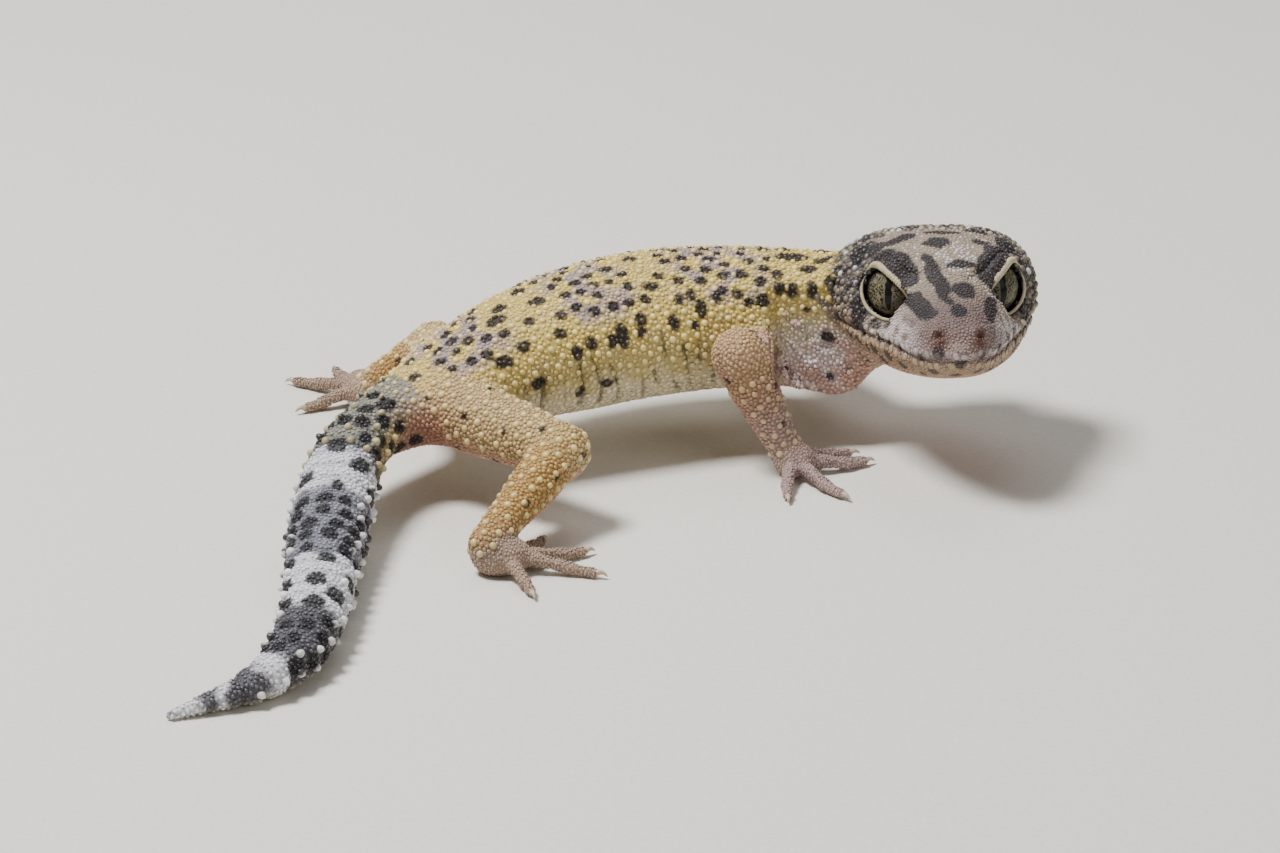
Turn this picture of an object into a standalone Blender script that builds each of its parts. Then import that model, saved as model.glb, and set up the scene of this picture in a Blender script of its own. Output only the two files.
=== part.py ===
"""A life-size leopard gecko, standing still with its head turned to its right.

Every part of the body is one closed solid with a small gap to its neighbours. Sizes and
places are in millimetres here and become metres when a mesh is made. The animal stands
on z = 0 and walks toward +X, so its right side is the -Y side. Places along the body are
distances from the vent, forward along the spine's own curve; the tail is behind zero.
"""

from collections import namedtuple
from math import cos, pi, radians, sin, tau

import bmesh
import bpy
import numpy as np
from mathutils import Matrix

MM = 0.001
GAP = 0.3  # clear space between neighbouring solids

# The spine, seen as a line of stations: how far from the vent, which way it heads, how
# high its middle is, and the body's half width, height above and depth below that line.
Station = namedtuple("Station", "place heading height side rise drop")
VENT = (-24.6, -5.3)
SPINE = (
    Station(-64.5, 27, 0.7, 0.5, 0.45, 0.7),
    Station(-59.0, 27, 1.4, 1.4, 1.2, 1.4),
    Station(-53.0, 55, 2.4, 2.4, 2.1, 2.4),
    Station(-45.0, 82, 3.0, 3.2, 2.7, 3.05),
    Station(-32.0, 89, 3.5, 3.75, 3.2, 3.55),
    Station(-20.0, 86, 4.8, 4.15, 3.7, 3.7),
    Station(-12.0, 79, 6.6, 3.9, 3.6, 3.6),
    Station(-5.0, 58, 8.2, 3.4, 3.3, 3.4),
    Station(0.0, 41, 9.0, 4.4, 3.7, 3.9),
    Station(6.0, 35, 10.3, 6.3, 5.1, 5.2),
    Station(14.0, 34, 11.5, 7.7, 6.6, 6.3),
    Station(23.0, 28, 12.1, 8.9, 7.5, 7.0),
    Station(31.0, 17, 12.3, 9.3, 7.8, 6.9),
    Station(39.0, 5, 12.4, 8.8, 7.6, 6.8),
    Station(45.0, -3, 12.6, 8.0, 7.2, 7.0),
    Station(51.0, -12, 13.4, 7.0, 6.5, 7.4),
    Station(56.0, -40, 15.2, 6.7, 5.9, 6.9),
    Station(61.0, -80, 17.4, 6.0, 5.4, 5.4),
)
TAIL_TIP, TAIL_SPLITS, TAIL_ROOT, NECK_ROOT, NECK_END = -64.5, (-44.0, -22.0), -3.0, 47.0, 60.0

# The head, measured from the middle between the eyes, forward along its own axis.
HEAD_PLACE, HEAD_HEADING, HEAD_PITCH = (31.8, 1.4, 19.6), -84.5, 6.0
Section = namedtuple("Section", "forward side level top bottom lean")
HEAD = (
    Section(-14.5, 4.6, -1.6, 1.4, -4.8, 0.0),
    Section(-12.5, 8.0, -1.0, 3.5, -6.9, 0.0),
    Section(-9.5, 10.3, -0.6, 4.9, -8.3, 0.02),
    Section(-6.0, 10.8, -1.2, 5.3, -8.8, 0.08),
    Section(-2.5, 9.5, -2.6, 5.0, -8.9, 0.20),
    Section(0.5, 8.5, -3.2, 4.3, -8.8, 0.28),
    Section(3.5, 7.2, -3.4, 3.0, -8.3, 0.28),
    Section(6.5, 5.8, -3.4, 1.5, -7.6, 0.22),
    Section(9.0, 4.2, -3.2, 0.1, -6.7, 0.12),
    Section(10.5, 2.7, -3.4, -1.3, -5.8, 0.05),
)
SNOUT_TIP, NAPE = (11.4, 0.0, -3.4), (-15.2, 0.0, -1.4)
EYE_RADIUS, EYE_PLACE, EYE_FACING, EYE_LIFT = 3.4, (-2.0, 4.7, -0.1), 35.0, -4.0
LID, EYE_OPENING = 0.9, 3.1
NOSTRIL, NOSTRIL_RADIUS = (10.4, 2.05, -1.9), 0.5
EAR, EAR_SIZE = (-10.6, 9.4, -2.2), (0.8, 1.2, 1.5)
MOUTH = ((13.0, -4.2), (9.0, -4.6), (7.0, -4.3), (5.0, -3.95), (2.0, -4.05), (-1.0, -4.2), (-5.5, -4.0))
JAW_BACK = ((-10.0, -5.2), (-12.0, -12.0), (13.0, -12.0))
HEAD_REACH, HEAD_FULLNESS = 14.0, 2.5

# Limbs: joint places, then the radius at even steps along each length.
Limb = namedtuple("Limb", "root bend end upper lower foot")
Foot = namedtuple("Foot", "place heading length width toes")
Toe = namedtuple("Toe", "heading reach curl")
ARM_RADII, FOREARM_RADII = (3.5, 3.1, 2.8, 2.75), (2.5, 2.75, 2.2, 1.75)
THIGH_RADII, SHANK_RADII = (3.8, 3.7, 3.3, 2.85), (2.6, 2.6, 2.1, 1.8)
LIMBS = {
    "right_arm": Limb(
        (20.8, 8.0, 9.2), (10.3, 0.2, 13.0), (15.0, -0.6, 3.2), ARM_RADII, FOREARM_RADII,
        Foot((16.2, -1.0, 1.7), -10, 2.3, 2.2,
             (Toe(84, 4.6, 10), Toe(40, 6.4, -16), Toe(14, 6.8, 18), Toe(-56, 7.2, 8), Toe(-98, 6.2, 10))),
    ),
    "left_arm": Limb(
        (19.5, 19.0, 10.0), (12.5, 31.0, 10.5), (20.2, 36.0, 3.0), ARM_RADII, FOREARM_RADII,
        Foot((21.4, 36.9, 1.7), 30, 2.3, 2.2,
             (Toe(-44, 4.6, -8), Toe(-8, 6.2, -8), Toe(26, 6.8, 6), Toe(64, 6.6, 8), Toe(112, 5.2, 10))),
    ),
    "right_leg": Limb(
        (-19.3, -6.4, 9.5), (-8.0, -14.6, 8.2), (-15.6, -27.0, 3.2), THIGH_RADII, SHANK_RADII,
        Foot((-14.0, -26.8, 1.8), 12, 3.2, 2.4,
             (Toe(96, 4.4, 10), Toe(58, 6.6, 10), Toe(24, 8.0, 8), Toe(-8, 8.4, -8), Toe(-62, 5.8, -10))),
    ),
    "left_leg": Limb(
        (-20.0, 2.0, 9.6), (-22.0, 16.6, 7.4), (-28.6, 17.8, 3.2), THIGH_RADII, SHANK_RADII,
        Foot((-29.6, 19.0, 1.8), 135, 3.2, 2.4,
             (Toe(52, 4.6, -10), Toe(88, 6.6, -10), Toe(116, 8.0, -8), Toe(146, 8.4, 8), Toe(200, 5.8, 10))),
    ),
}
TOE_RADII, CLAW_LENGTH, CLAW_RADII = (0.95, 0.8, 0.78, 0.62), 1.3, (0.36, 0.13)

COLOURS = {
    "head": (0.42, 0.36, 0.31),
    "lower_jaw": (0.55, 0.42, 0.33),
    "neck": (0.62, 0.52, 0.30),
    "trunk": (0.68, 0.58, 0.27),
    "tail": (0.50, 0.50, 0.50),
    "arm": (0.55, 0.36, 0.24),
    "leg": (0.58, 0.40, 0.20),
    "foot": (0.42, 0.32, 0.29),
    "eye": (0.09, 0.09, 0.06),
}


def follow(places, knots, values):
    """A smooth curve through the values at the knots, level wherever they turn back."""
    knots, values = np.asarray(knots, float), np.asarray(values, float)
    step = np.diff(knots)
    slope = np.diff(values) / step
    before, after = slope[:-1], slope[1:]
    same_way = before * after > 0
    mean = np.where(same_way, 2 * before * after / np.where(same_way, before + after, 1), 0)
    tangent = np.concatenate([slope[:1], mean, slope[-1:]])
    i = np.clip(np.searchsorted(knots, places, side="right") - 1, 0, len(step) - 1)
    t = (places - knots[i]) / step[i]
    start, end = (1 + 2 * t) * (1 - t) ** 2, t * t * (3 - 2 * t)
    lead, trail = t * (1 - t) ** 2 * step[i], t * t * (t - 1) * step[i]
    return start * values[i] + end * values[i + 1] + lead * tangent[i] + trail * tangent[i + 1]


def material(name, colour, roughness=0.6):
    made = bpy.data.materials.new(name)
    made.use_nodes = True
    shader = made.node_tree.nodes["Principled BSDF"]
    shader.inputs["Base Color"].default_value = (*colour, 1)
    shader.inputs["Roughness"].default_value = roughness
    return made


def make_object(name, points, faces, look=None):
    """An object whose mesh has these points, in millimetres; without a look it is a helper."""
    mesh = bpy.data.meshes.new(name)
    mesh.from_pydata([tuple(p) for p in np.asarray(points) * MM], [], faces)
    shaped = bmesh.new()
    shaped.from_mesh(mesh)
    bmesh.ops.recalc_face_normals(shaped, faces=shaped.faces)
    shaped.to_mesh(mesh)
    shaped.free()
    made = bpy.data.objects.new(name, mesh)
    bpy.context.scene.collection.objects.link(made)
    if look is None:
        made.hide_render = True
        made.display_type = "WIRE"
    else:
        mesh.materials.append(look)
        mesh.shade_smooth()
        mesh.set_sharp_from_angle(angle=radians(50))
    return made


def skinned(name, rings, first, last, look=None):
    """A closed solid over a stack of rings, with a fan of faces to a point at each end."""
    count, around = rings.shape[:2]
    points = np.concatenate([rings.reshape(-1, 3), [first, last]])
    faces = []
    for i in range(count - 1):
        for j in range(around):
            k = (j + 1) % around
            faces.append((i * around + j, i * around + k, (i + 1) * around + k, (i + 1) * around + j))
    end = (count - 1) * around
    for j in range(around):
        k = (j + 1) % around
        faces.append((count * around, k, j))
        faces.append((count * around + 1, end + j, end + k))
    return make_object(name, points, faces, look)


def round_rings(centres, across, upward, side, rise, drop, around, fullness=2.2, lean=0.0):
    """Rings of a rounded section at each centre: narrower at the top where it leans in."""
    angle = np.arange(around) * tau / around
    wide = np.sign(np.cos(angle)) * np.abs(np.cos(angle)) ** (2 / fullness)
    tall = np.sign(np.sin(angle)) * np.abs(np.sin(angle)) ** (2 / fullness)
    column = [np.broadcast_to(np.asarray(v, float), len(centres))[:, None] for v in (side, rise, drop, lean)]
    out = column[0] * wide * (1 - column[3] * np.maximum(tall, 0))
    up = np.where(tall > 0, column[1], column[2]) * tall
    return centres[:, None] + across[:, None] * out[..., None] + upward[:, None] * up[..., None]


def cut(target, tool, operation="DIFFERENCE"):
    change = target.modifiers.new(tool.name, "BOOLEAN")
    change.operation = operation
    change.object = tool
    change.solver = "EXACT"


def ball(name, place, radius, look=None, around=16, stretch=(1, 1, 1), turn=None):
    """A sphere, stretched along the axes of turn, as a mesh with its place in it."""
    polar = np.linspace(0, pi, around // 2 + 1)[1:-1]
    angle = np.arange(around) * tau / around
    rings = np.stack(
        [np.outer(np.sin(polar), np.cos(angle)), np.outer(np.sin(polar), np.sin(angle)),
         np.outer(np.cos(polar), np.ones(around))], axis=2)
    axes = np.eye(3) if turn is None else turn
    scaled = axes @ np.diag(np.multiply(stretch, radius))
    top, low = scaled @ (0, 0, 1), scaled @ (0, 0, -1)
    return skinned(name, rings @ scaled.T + place, top + place, low + place, look)


# ---- trunk, neck and tail ----------------------------------------------------------------


def spine_line(places):
    """Middle points, sideways and heading of the spine at the given places."""
    knots = [s.place for s in SPINE]
    fine = np.linspace(knots[0], knots[-1], 1281)
    heading = np.radians(follow(fine, knots, [s.heading for s in SPINE]))
    steps = np.stack([np.cos(heading), np.sin(heading)], 1) * (fine[1] - fine[0])
    track = np.concatenate([[(0, 0)], np.cumsum((steps[1:] + steps[:-1]) / 2, axis=0)])
    vent = [np.interp(0, fine, track[:, i]) for i in (0, 1)]
    flat = [np.interp(places, fine, track[:, i] - vent[i] + VENT[i]) for i in (0, 1)]
    height = follow(places, knots, [s.height for s in SPINE])
    turned = np.interp(places, fine, heading)
    across = np.stack([-np.sin(turned), np.cos(turned), np.zeros(len(places))], 1)
    return np.stack([*flat, height], 1), across


def body_length(name, start, end, rings, around, look=None, grow=0.0, tip=False):
    """One length of the body between two flat ends, or from the tail's pointed tip."""
    places = np.linspace(start, end, rings)
    centres, across = spine_line(places)
    knots = [s.place for s in SPINE]
    side, rise, drop = (
        follow(places, knots, [getattr(s, size) for s in SPINE]) + grow
        for size in ("side", "rise", "drop")
    )
    upward = np.broadcast_to((0, 0, 1), centres.shape)
    shape = round_rings(centres, across, upward, side, rise, drop, around)
    if look is not None:
        shape[..., 2] = np.maximum(shape[..., 2], 0)
    first = centres[0] - (centres[1] - centres[0]) * 0.25 if tip else shape[0].mean(axis=0)
    return skinned(name, shape, first, shape[-1].mean(axis=0), look)


def build_body(looks):
    half = GAP / 2
    cuts = (TAIL_TIP, *TAIL_SPLITS, TAIL_ROOT)
    body_length("tail_tip", cuts[0], cuts[1] - half, 12, 12, looks["tail"], tip=True)
    body_length("tail_middle", cuts[1] + half, cuts[2] - half, 8, 14, looks["tail"])
    body_length("tail_base", cuts[2] + half, cuts[3] - half, 8, 14, looks["tail"])
    body_length("trunk", TAIL_ROOT + half, NECK_ROOT - half, 18, 20, looks["trunk"])
    return body_length("neck", NECK_ROOT + half, NECK_END, 8, 18, looks["neck"])


# ---- head --------------------------------------------------------------------------------


def head_axes():
    """Forward, left and up of the head, as the columns of a matrix."""
    turn = Matrix.Rotation(radians(HEAD_HEADING), 3, "Z") @ Matrix.Rotation(radians(-HEAD_PITCH), 3, "Y")
    return np.array(turn)


def in_head(point):
    return head_axes() @ np.asarray(point, float) + HEAD_PLACE


def head_loft(name, around, rings, look=None, grow=0.0):
    knots = [s.forward for s in HEAD]
    spacing = np.linspace(0, 1, rings)
    forward = follow(spacing, np.linspace(0, 1, len(HEAD)), knots)
    side, level, top, bottom, lean = (
        follow(forward, knots, [getattr(s, size) for s in HEAD])
        for size in ("side", "level", "top", "bottom", "lean")
    )
    axes = head_axes()
    centres = np.stack([forward, 0 * forward, level], 1) @ axes.T + HEAD_PLACE
    across, upward = (np.broadcast_to(axes[:, i], centres.shape) for i in (1, 2))
    reach = (side + grow, top - level + grow, level - bottom + grow)
    shape = round_rings(centres, across, upward, *reach, around, HEAD_FULLNESS, lean)
    ends = [np.add(NAPE, (-grow, 0, 0)), np.add(SNOUT_TIP, (grow, 0, 0))]
    return skinned(name, shape, in_head(ends[0]), in_head(ends[1]), look)


def eye_axis(left):
    """The way an eye faces in the head: outward, forward and a little down."""
    turn, lift = radians(EYE_FACING), radians(EYE_LIFT)
    return np.array((cos(turn) * cos(lift), left * sin(turn) * cos(lift), sin(lift)))


def mouth_block(name, gap):
    """A block below the mouth's line, as wide as the head and pulled in by the gap."""
    line = [(f, u - gap) for f, u in MOUTH] + [(f + gap, u - gap) for f, u in JAW_BACK[:1]]
    line += [(f + (gap if f < 0 else 0), u) for f, u in JAW_BACK[1:]]
    count = len(line)
    points = [in_head((f, y, u)) for y in (-HEAD_REACH, HEAD_REACH) for f, u in line]
    faces = [tuple(range(count)), tuple(range(2 * count - 1, count - 1, -1))]
    faces += [(i, i + count, (i + 1) % count + count, (i + 1) % count) for i in range(count)]
    return make_object(name, points, faces)


def build_head(looks):
    head = head_loft("head", 24, 18, looks["head"])
    jaw = head_loft("lower_jaw", 24, 18, looks["lower_jaw"])
    for word, left in (("right", -1), ("left", 1)):
        mirror = np.array((1, left, 1))
        middle = in_head(mirror * EYE_PLACE)
        cut(head, ball("orbit_" + word, middle, EYE_RADIUS + LID, around=14), "UNION")
    for word, left in (("right", -1), ("left", 1)):
        mirror = np.array((1, left, 1))
        middle = in_head(mirror * EYE_PLACE)
        facing = head_axes() @ eye_axis(left)
        cut(head, ball("socket_" + word, middle, EYE_RADIUS + GAP, around=16))
        opening = ball("opening_" + word, middle + facing * EYE_RADIUS, EYE_OPENING)
        cut(head, opening)
        ball("eye_" + word, middle, EYE_RADIUS, looks["eye"], around=14)
        cut(head, ball("nostril_" + word, in_head(mirror * NOSTRIL), NOSTRIL_RADIUS, around=8))
        cut(head, ball("ear_" + word, in_head(mirror * EAR), 1.0, None, 10, EAR_SIZE, head_axes()))
    cut(head, mouth_block("mouth_cut", 0.0))
    cut(jaw, mouth_block("jaw_bounds", GAP), "INTERSECT")


# ---- limbs -------------------------------------------------------------------------------


def limb_length(name, start, end, radii, look=None, grow=0.0, around=10):
    """A round-ended length between two joints, whose radius follows the list."""
    start, end = np.array(start, float), np.array(end, float)
    reach = np.linalg.norm(end - start)
    along = (end - start) / reach
    bow = np.array((0.35, 0.7))
    spots = np.concatenate([-radii[0] * np.cos(bow), np.linspace(0, reach, 5), reach + radii[-1] * np.sin(bow)])
    width = follow(np.clip(spots, 0, reach), np.linspace(0, reach, len(radii)), radii)
    width *= np.concatenate([np.sin(bow), np.ones(5), np.cos(bow)])
    centres = start + along * spots[:, None]
    across = np.cross(along, (0, 0, 1))
    across /= np.linalg.norm(across)
    frames = [np.broadcast_to(v, centres.shape) for v in (across, np.cross(across, along))]
    size = width + grow
    shape = round_rings(centres, *frames, size, size, size, around, 2.0)
    first, last = start - along * (radii[0] + grow), end + along * (radii[-1] + grow)
    return skinned(name, shape, first, last, look)


def toe_and_claw(name, foot, toe, start):
    """A toe that leaves the foot level, bends sideways by its curl and ends in a claw."""
    steps = np.linspace(0, 1, 4)
    heading = np.radians(toe.heading + toe.curl * (2 * steps - 1))
    stride = toe.reach * np.diff(steps)[:, None]
    flat = np.concatenate([[(0, 0)], np.cumsum(np.stack([np.cos(heading), np.sin(heading)], 1)[1:] * stride, axis=0)])
    height = foot.place[2] - 0.35 + (0.62 - foot.place[2] + 0.35) * steps**1.6
    toe_line = np.column_stack([start[0] + flat[:, 0], start[1] + flat[:, 1], height])
    way = np.array((cos(heading[-1]), sin(heading[-1]), 0))
    claw_steps = np.array((0.0, 1.0))[:, None] * CLAW_LENGTH
    claw_drop = np.array((0.0, -0.25))[:, None] * (0, 0, 1)
    claw_line = toe_line[-1] + way * (TOE_RADII[-1] * 0.8 + claw_steps) + claw_drop
    centres = np.concatenate([toe_line, claw_line])
    radii = np.concatenate([follow(steps, np.linspace(0, 1, len(TOE_RADII)), TOE_RADII), CLAW_RADII])
    across = np.column_stack([-np.sin(heading), np.cos(heading), 0 * heading])
    across = np.concatenate([across, np.repeat(across[-1:], 2, axis=0)])
    upward = np.broadcast_to((0, 0, 1), centres.shape)
    shape = round_rings(centres, across, upward, radii, radii, radii, 6, 2.0)
    return skinned(name, shape, centres[0] - way * 0.5, centres[-1] + way * 0.15)


def build_foot(name, foot, look, floor):
    """The palm or sole with its toes and claws, cut level where it meets the ground."""
    turn = np.array(Matrix.Rotation(radians(foot.heading), 3, "Z"))
    sole = ball(name, foot.place, 1.0, look, 10, (foot.length, foot.width, foot.place[2] + 0.35), turn)
    for number, toe in enumerate(foot.toes, 1):
        way = np.array((cos(radians(toe.heading)), sin(radians(toe.heading)), 0))
        start = np.array(foot.place) + way * 0.45 * foot.width
        cut(sole, toe_and_claw(f"{name}_toe_{number}", foot, toe, start), "UNION")
    cut(sole, floor)
    return sole


def build_limbs(looks):
    floor = make_object("ground", *box_shape((-60, -80, -6), (60, 60, 0)))
    body = body_length("body_clearance", TAIL_SPLITS[1], NECK_END, 36, 24, grow=GAP)
    names = {"arm": ("upper_arm", "forearm", "hand"), "leg": ("thigh", "shank", "foot")}
    for limb_name, limb in LIMBS.items():
        side, kind = limb_name.split("_")
        upper, lower, end = (f"{side}_{word}" for word in names[kind])
        first = limb_length(upper, limb.root, limb.bend, limb.upper, looks[kind])
        second = limb_length(lower, limb.bend, limb.end, limb.lower, looks[kind])
        last = build_foot(end, limb.foot, looks["foot"], floor)
        cut(first, body)
        cut(second, limb_length(upper + "_clearance", limb.root, limb.bend, limb.upper, None, GAP, 16))
        cut(last, limb_length(lower + "_clearance", limb.bend, limb.end, limb.lower, None, GAP, 16))


def box_shape(low, high):
    points = [(x, y, z) for x in (low[0], high[0]) for y in (low[1], high[1]) for z in (low[2], high[2])]
    faces = [(0, 1, 3, 2), (4, 6, 7, 5), (0, 4, 5, 1), (2, 3, 7, 6), (0, 2, 6, 4), (1, 5, 7, 3)]
    return points, faces


def stand_at_origin():
    """Puts everything under one empty, moved so that the box round the animal is centred."""
    stand = bpy.data.objects.new("gecko", None)
    bpy.context.scene.collection.objects.link(stand)
    bpy.context.view_layer.update()
    graph = bpy.context.evaluated_depsgraph_get()
    corners = []
    for piece in list(bpy.context.scene.objects):
        if piece.type != "MESH":
            continue
        if not piece.hide_render:
            shape = piece.evaluated_get(graph).to_mesh()
            corners += [v.co.copy() for v in shape.vertices]
        piece.parent = stand
    low, high = np.min(corners, axis=0), np.max(corners, axis=0)
    stand.location = (-(low[0] + high[0]) / 2, -(low[1] + high[1]) / 2, 0)


def main():
    for old in list(bpy.data.objects):
        bpy.data.objects.remove(old, do_unlink=True)
    looks = {name: material(name, colour, 0.1 if name == "eye" else 0.6) for name, colour in COLOURS.items()}
    neck = build_body(looks)
    build_head(looks)
    cut(neck, head_loft("head_clearance", 32, 28, grow=GAP))
    build_limbs(looks)
    stand_at_origin()


main()
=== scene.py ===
"""A still, life-size leopard gecko: the looks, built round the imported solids.

The body is one skin, the smooth zero level of a field worked out from the spine, the head
and the limbs. Scales, eyelid fringes, eyes and claws are pieces of their own on that skin.
Lengths in the tables and the array code are millimetres in the animal's own axes, with the
floor at z = 0; place_in_row turns them into metres in the frame.
"""

from collections import namedtuple
from functools import lru_cache
from math import cos, pi, radians, sin, tau

import bpy
import numpy as np
from bpy.props import FloatProperty, FloatVectorProperty, IntProperty, PointerProperty
from mathutils import Matrix, Vector
from mathutils.kdtree import KDTree


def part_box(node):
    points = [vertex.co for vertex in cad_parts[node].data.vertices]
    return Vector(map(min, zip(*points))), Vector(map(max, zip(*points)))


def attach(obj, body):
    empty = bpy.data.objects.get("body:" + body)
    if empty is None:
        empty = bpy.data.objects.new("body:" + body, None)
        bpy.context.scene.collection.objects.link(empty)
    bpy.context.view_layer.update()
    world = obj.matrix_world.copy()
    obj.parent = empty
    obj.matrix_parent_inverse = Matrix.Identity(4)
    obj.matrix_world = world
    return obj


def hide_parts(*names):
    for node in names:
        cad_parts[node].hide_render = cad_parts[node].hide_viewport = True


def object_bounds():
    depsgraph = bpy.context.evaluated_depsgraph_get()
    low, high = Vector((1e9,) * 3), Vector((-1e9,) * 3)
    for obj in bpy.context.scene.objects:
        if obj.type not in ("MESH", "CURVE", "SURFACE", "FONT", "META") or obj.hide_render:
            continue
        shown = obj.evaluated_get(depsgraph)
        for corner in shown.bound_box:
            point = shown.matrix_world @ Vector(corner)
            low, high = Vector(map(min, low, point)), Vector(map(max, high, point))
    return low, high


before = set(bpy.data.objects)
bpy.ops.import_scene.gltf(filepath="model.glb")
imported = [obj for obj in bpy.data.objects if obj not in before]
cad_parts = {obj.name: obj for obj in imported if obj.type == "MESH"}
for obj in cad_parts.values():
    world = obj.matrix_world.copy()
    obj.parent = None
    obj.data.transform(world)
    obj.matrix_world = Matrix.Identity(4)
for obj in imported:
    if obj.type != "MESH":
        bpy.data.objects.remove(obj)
CAD_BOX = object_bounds()

bl_info = {
    "name": "Leopard Gecko Model",
    "version": (1, 0, 0),
    "blender": (4, 5, 0),
    "location": "View3D > Sidebar > Gecko",
    "description": "Builds the skin, scales, eyes and claws of a still leopard gecko",
    "category": "Add Mesh",
}

MM = 0.001
BODY = "root"

# ---- the animal's build, as its solids have it ---------------------------------------------

Station = namedtuple("Station", "place heading height side rise drop")
VENT = (-24.6, -5.3)
SPINE = (
    Station(-64.5, 27, 0.7, 0.5, 0.45, 0.7),
    Station(-59.0, 27, 1.4, 1.4, 1.2, 1.4),
    Station(-53.0, 55, 2.4, 2.4, 2.1, 2.4),
    Station(-45.0, 82, 3.0, 3.2, 2.7, 3.05),
    Station(-32.0, 89, 3.5, 3.75, 3.2, 3.55),
    Station(-20.0, 86, 4.8, 4.15, 3.7, 3.7),
    Station(-12.0, 79, 6.6, 3.9, 3.6, 3.6),
    Station(-5.0, 58, 8.2, 3.4, 3.3, 3.4),
    Station(0.0, 41, 9.0, 4.4, 3.7, 3.9),
    Station(6.0, 35, 10.3, 6.3, 5.1, 5.2),
    Station(14.0, 34, 11.5, 7.7, 6.6, 6.3),
    Station(23.0, 28, 12.1, 8.9, 7.5, 7.0),
    Station(31.0, 17, 12.3, 9.3, 7.8, 6.9),
    Station(39.0, 5, 12.4, 8.8, 7.6, 6.8),
    Station(45.0, -3, 12.6, 8.0, 7.2, 7.0),
    Station(51.0, -12, 13.4, 7.0, 6.5, 7.4),
    Station(56.0, -40, 15.2, 6.7, 5.9, 6.9),
    Station(61.0, -80, 17.4, 6.0, 5.4, 5.4),
)
BODY_FULLNESS = 2.2
# Lengths of one ring of the tail, one crease of the flanks and one of the neck.
WHORL, FLANK_FOLD, NECK_FOLD = 2.3, 2.1, 2.6

HEAD_PLACE, HEAD_HEADING, HEAD_PITCH = (31.8, 1.4, 19.6), -84.5, 6.0
Section = namedtuple("Section", "forward side level top bottom lean")
HEAD = (
    Section(-14.5, 4.6, -1.6, 1.4, -4.8, 0.0),
    Section(-12.5, 8.0, -1.0, 3.5, -6.9, 0.0),
    Section(-9.5, 10.3, -0.6, 4.9, -8.3, 0.02),
    Section(-6.0, 10.8, -1.2, 5.3, -8.8, 0.08),
    Section(-2.5, 9.5, -2.6, 5.0, -8.9, 0.20),
    Section(0.5, 8.5, -3.2, 4.3, -8.8, 0.28),
    Section(3.5, 7.2, -3.4, 3.0, -8.3, 0.28),
    Section(6.5, 5.8, -3.4, 1.5, -7.6, 0.22),
    Section(9.0, 4.2, -3.2, 0.1, -6.7, 0.12),
    Section(10.5, 2.7, -3.4, -1.3, -5.8, 0.05),
    Section(11.2, 1.2, -3.4, -2.5, -4.6, 0.0),
)
HEAD_FULLNESS = 2.5
EYE_PLACE, EYE_RADIUS = (-2.0, 4.7, -0.1), 3.4
BROW, BROW_SIZE, BROW_RADIUS = (-1.4, 5.0, 2.7), (1.7, 1.1, 1), 1.75
NOSTRIL, EAR, EAR_SIZE = (10.4, 2.05, -1.9), (-10.6, 9.6, -2.2), (0.8, 1.3, 1.6)
# The mouth's line from its back to the tip of the snout: forward and up in the head.
MOUTH_LINE = np.array((
    (-9.0, -4.4), (-5.5, -4.0), (-1.0, -4.2), (2.0, -4.05),
    (5.0, -3.95), (7.0, -4.3), (9.0, -4.6), (13.0, -4.2),
))
MOUTH_CORNER = -7.0
# Points further than this from the head's place are not on the head.
HEAD_REACH = 19
# Where the neck gives way to the head, forward in the head.
NAPE = -7

Limb = namedtuple("Limb", "root bend end upper lower foot")
Foot = namedtuple("Foot", "place heading length width toes")
Toe = namedtuple("Toe", "heading reach curl")
ARM_RADII, FOREARM_RADII = (3.5, 3.1, 2.8, 2.75), (2.5, 2.75, 2.2, 1.75)
THIGH_RADII, SHANK_RADII = (3.8, 3.7, 3.3, 2.85), (2.6, 2.6, 2.1, 1.8)
LIMBS = {
    "right_arm": Limb(
        (20.8, 8.0, 9.2), (10.3, 0.2, 13.0), (15.0, -0.6, 3.2), ARM_RADII, FOREARM_RADII,
        Foot((16.2, -1.0, 1.7), -10, 2.3, 2.2,
             (Toe(84, 4.6, 10), Toe(40, 6.4, -16), Toe(14, 6.8, 18), Toe(-56, 7.2, 8), Toe(-98, 6.2, 10))),
    ),
    "left_arm": Limb(
        (19.5, 19.0, 10.0), (12.5, 31.0, 10.5), (20.2, 36.0, 3.0), ARM_RADII, FOREARM_RADII,
        Foot((21.4, 36.9, 1.7), 30, 2.3, 2.2,
             (Toe(-44, 4.6, -8), Toe(-8, 6.2, -8), Toe(26, 6.8, 6), Toe(64, 6.6, 8), Toe(112, 5.2, 10))),
    ),
    "right_leg": Limb(
        (-19.3, -6.4, 9.5), (-8.0, -14.6, 8.2), (-15.6, -27.0, 3.2), THIGH_RADII, SHANK_RADII,
        Foot((-14.0, -26.8, 1.8), 12, 3.2, 2.4,
             (Toe(96, 4.4, 10), Toe(58, 6.6, 10), Toe(24, 8.0, 8), Toe(-8, 8.4, -8), Toe(-62, 5.8, -10))),
    ),
    "left_leg": Limb(
        (-20.0, 2.0, 9.6), (-22.0, 16.6, 7.4), (-28.6, 17.8, 3.2), THIGH_RADII, SHANK_RADII,
        Foot((-29.6, 19.0, 1.8), 135, 3.2, 2.4,
             (Toe(52, 4.6, -10), Toe(88, 6.6, -10), Toe(116, 8.0, -8), Toe(146, 8.4, 8), Toe(200, 5.8, 10))),
    ),
}
TOE_RADII, CLAW_LENGTH = (0.95, 0.8, 0.78, 0.62), 1.3

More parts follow.
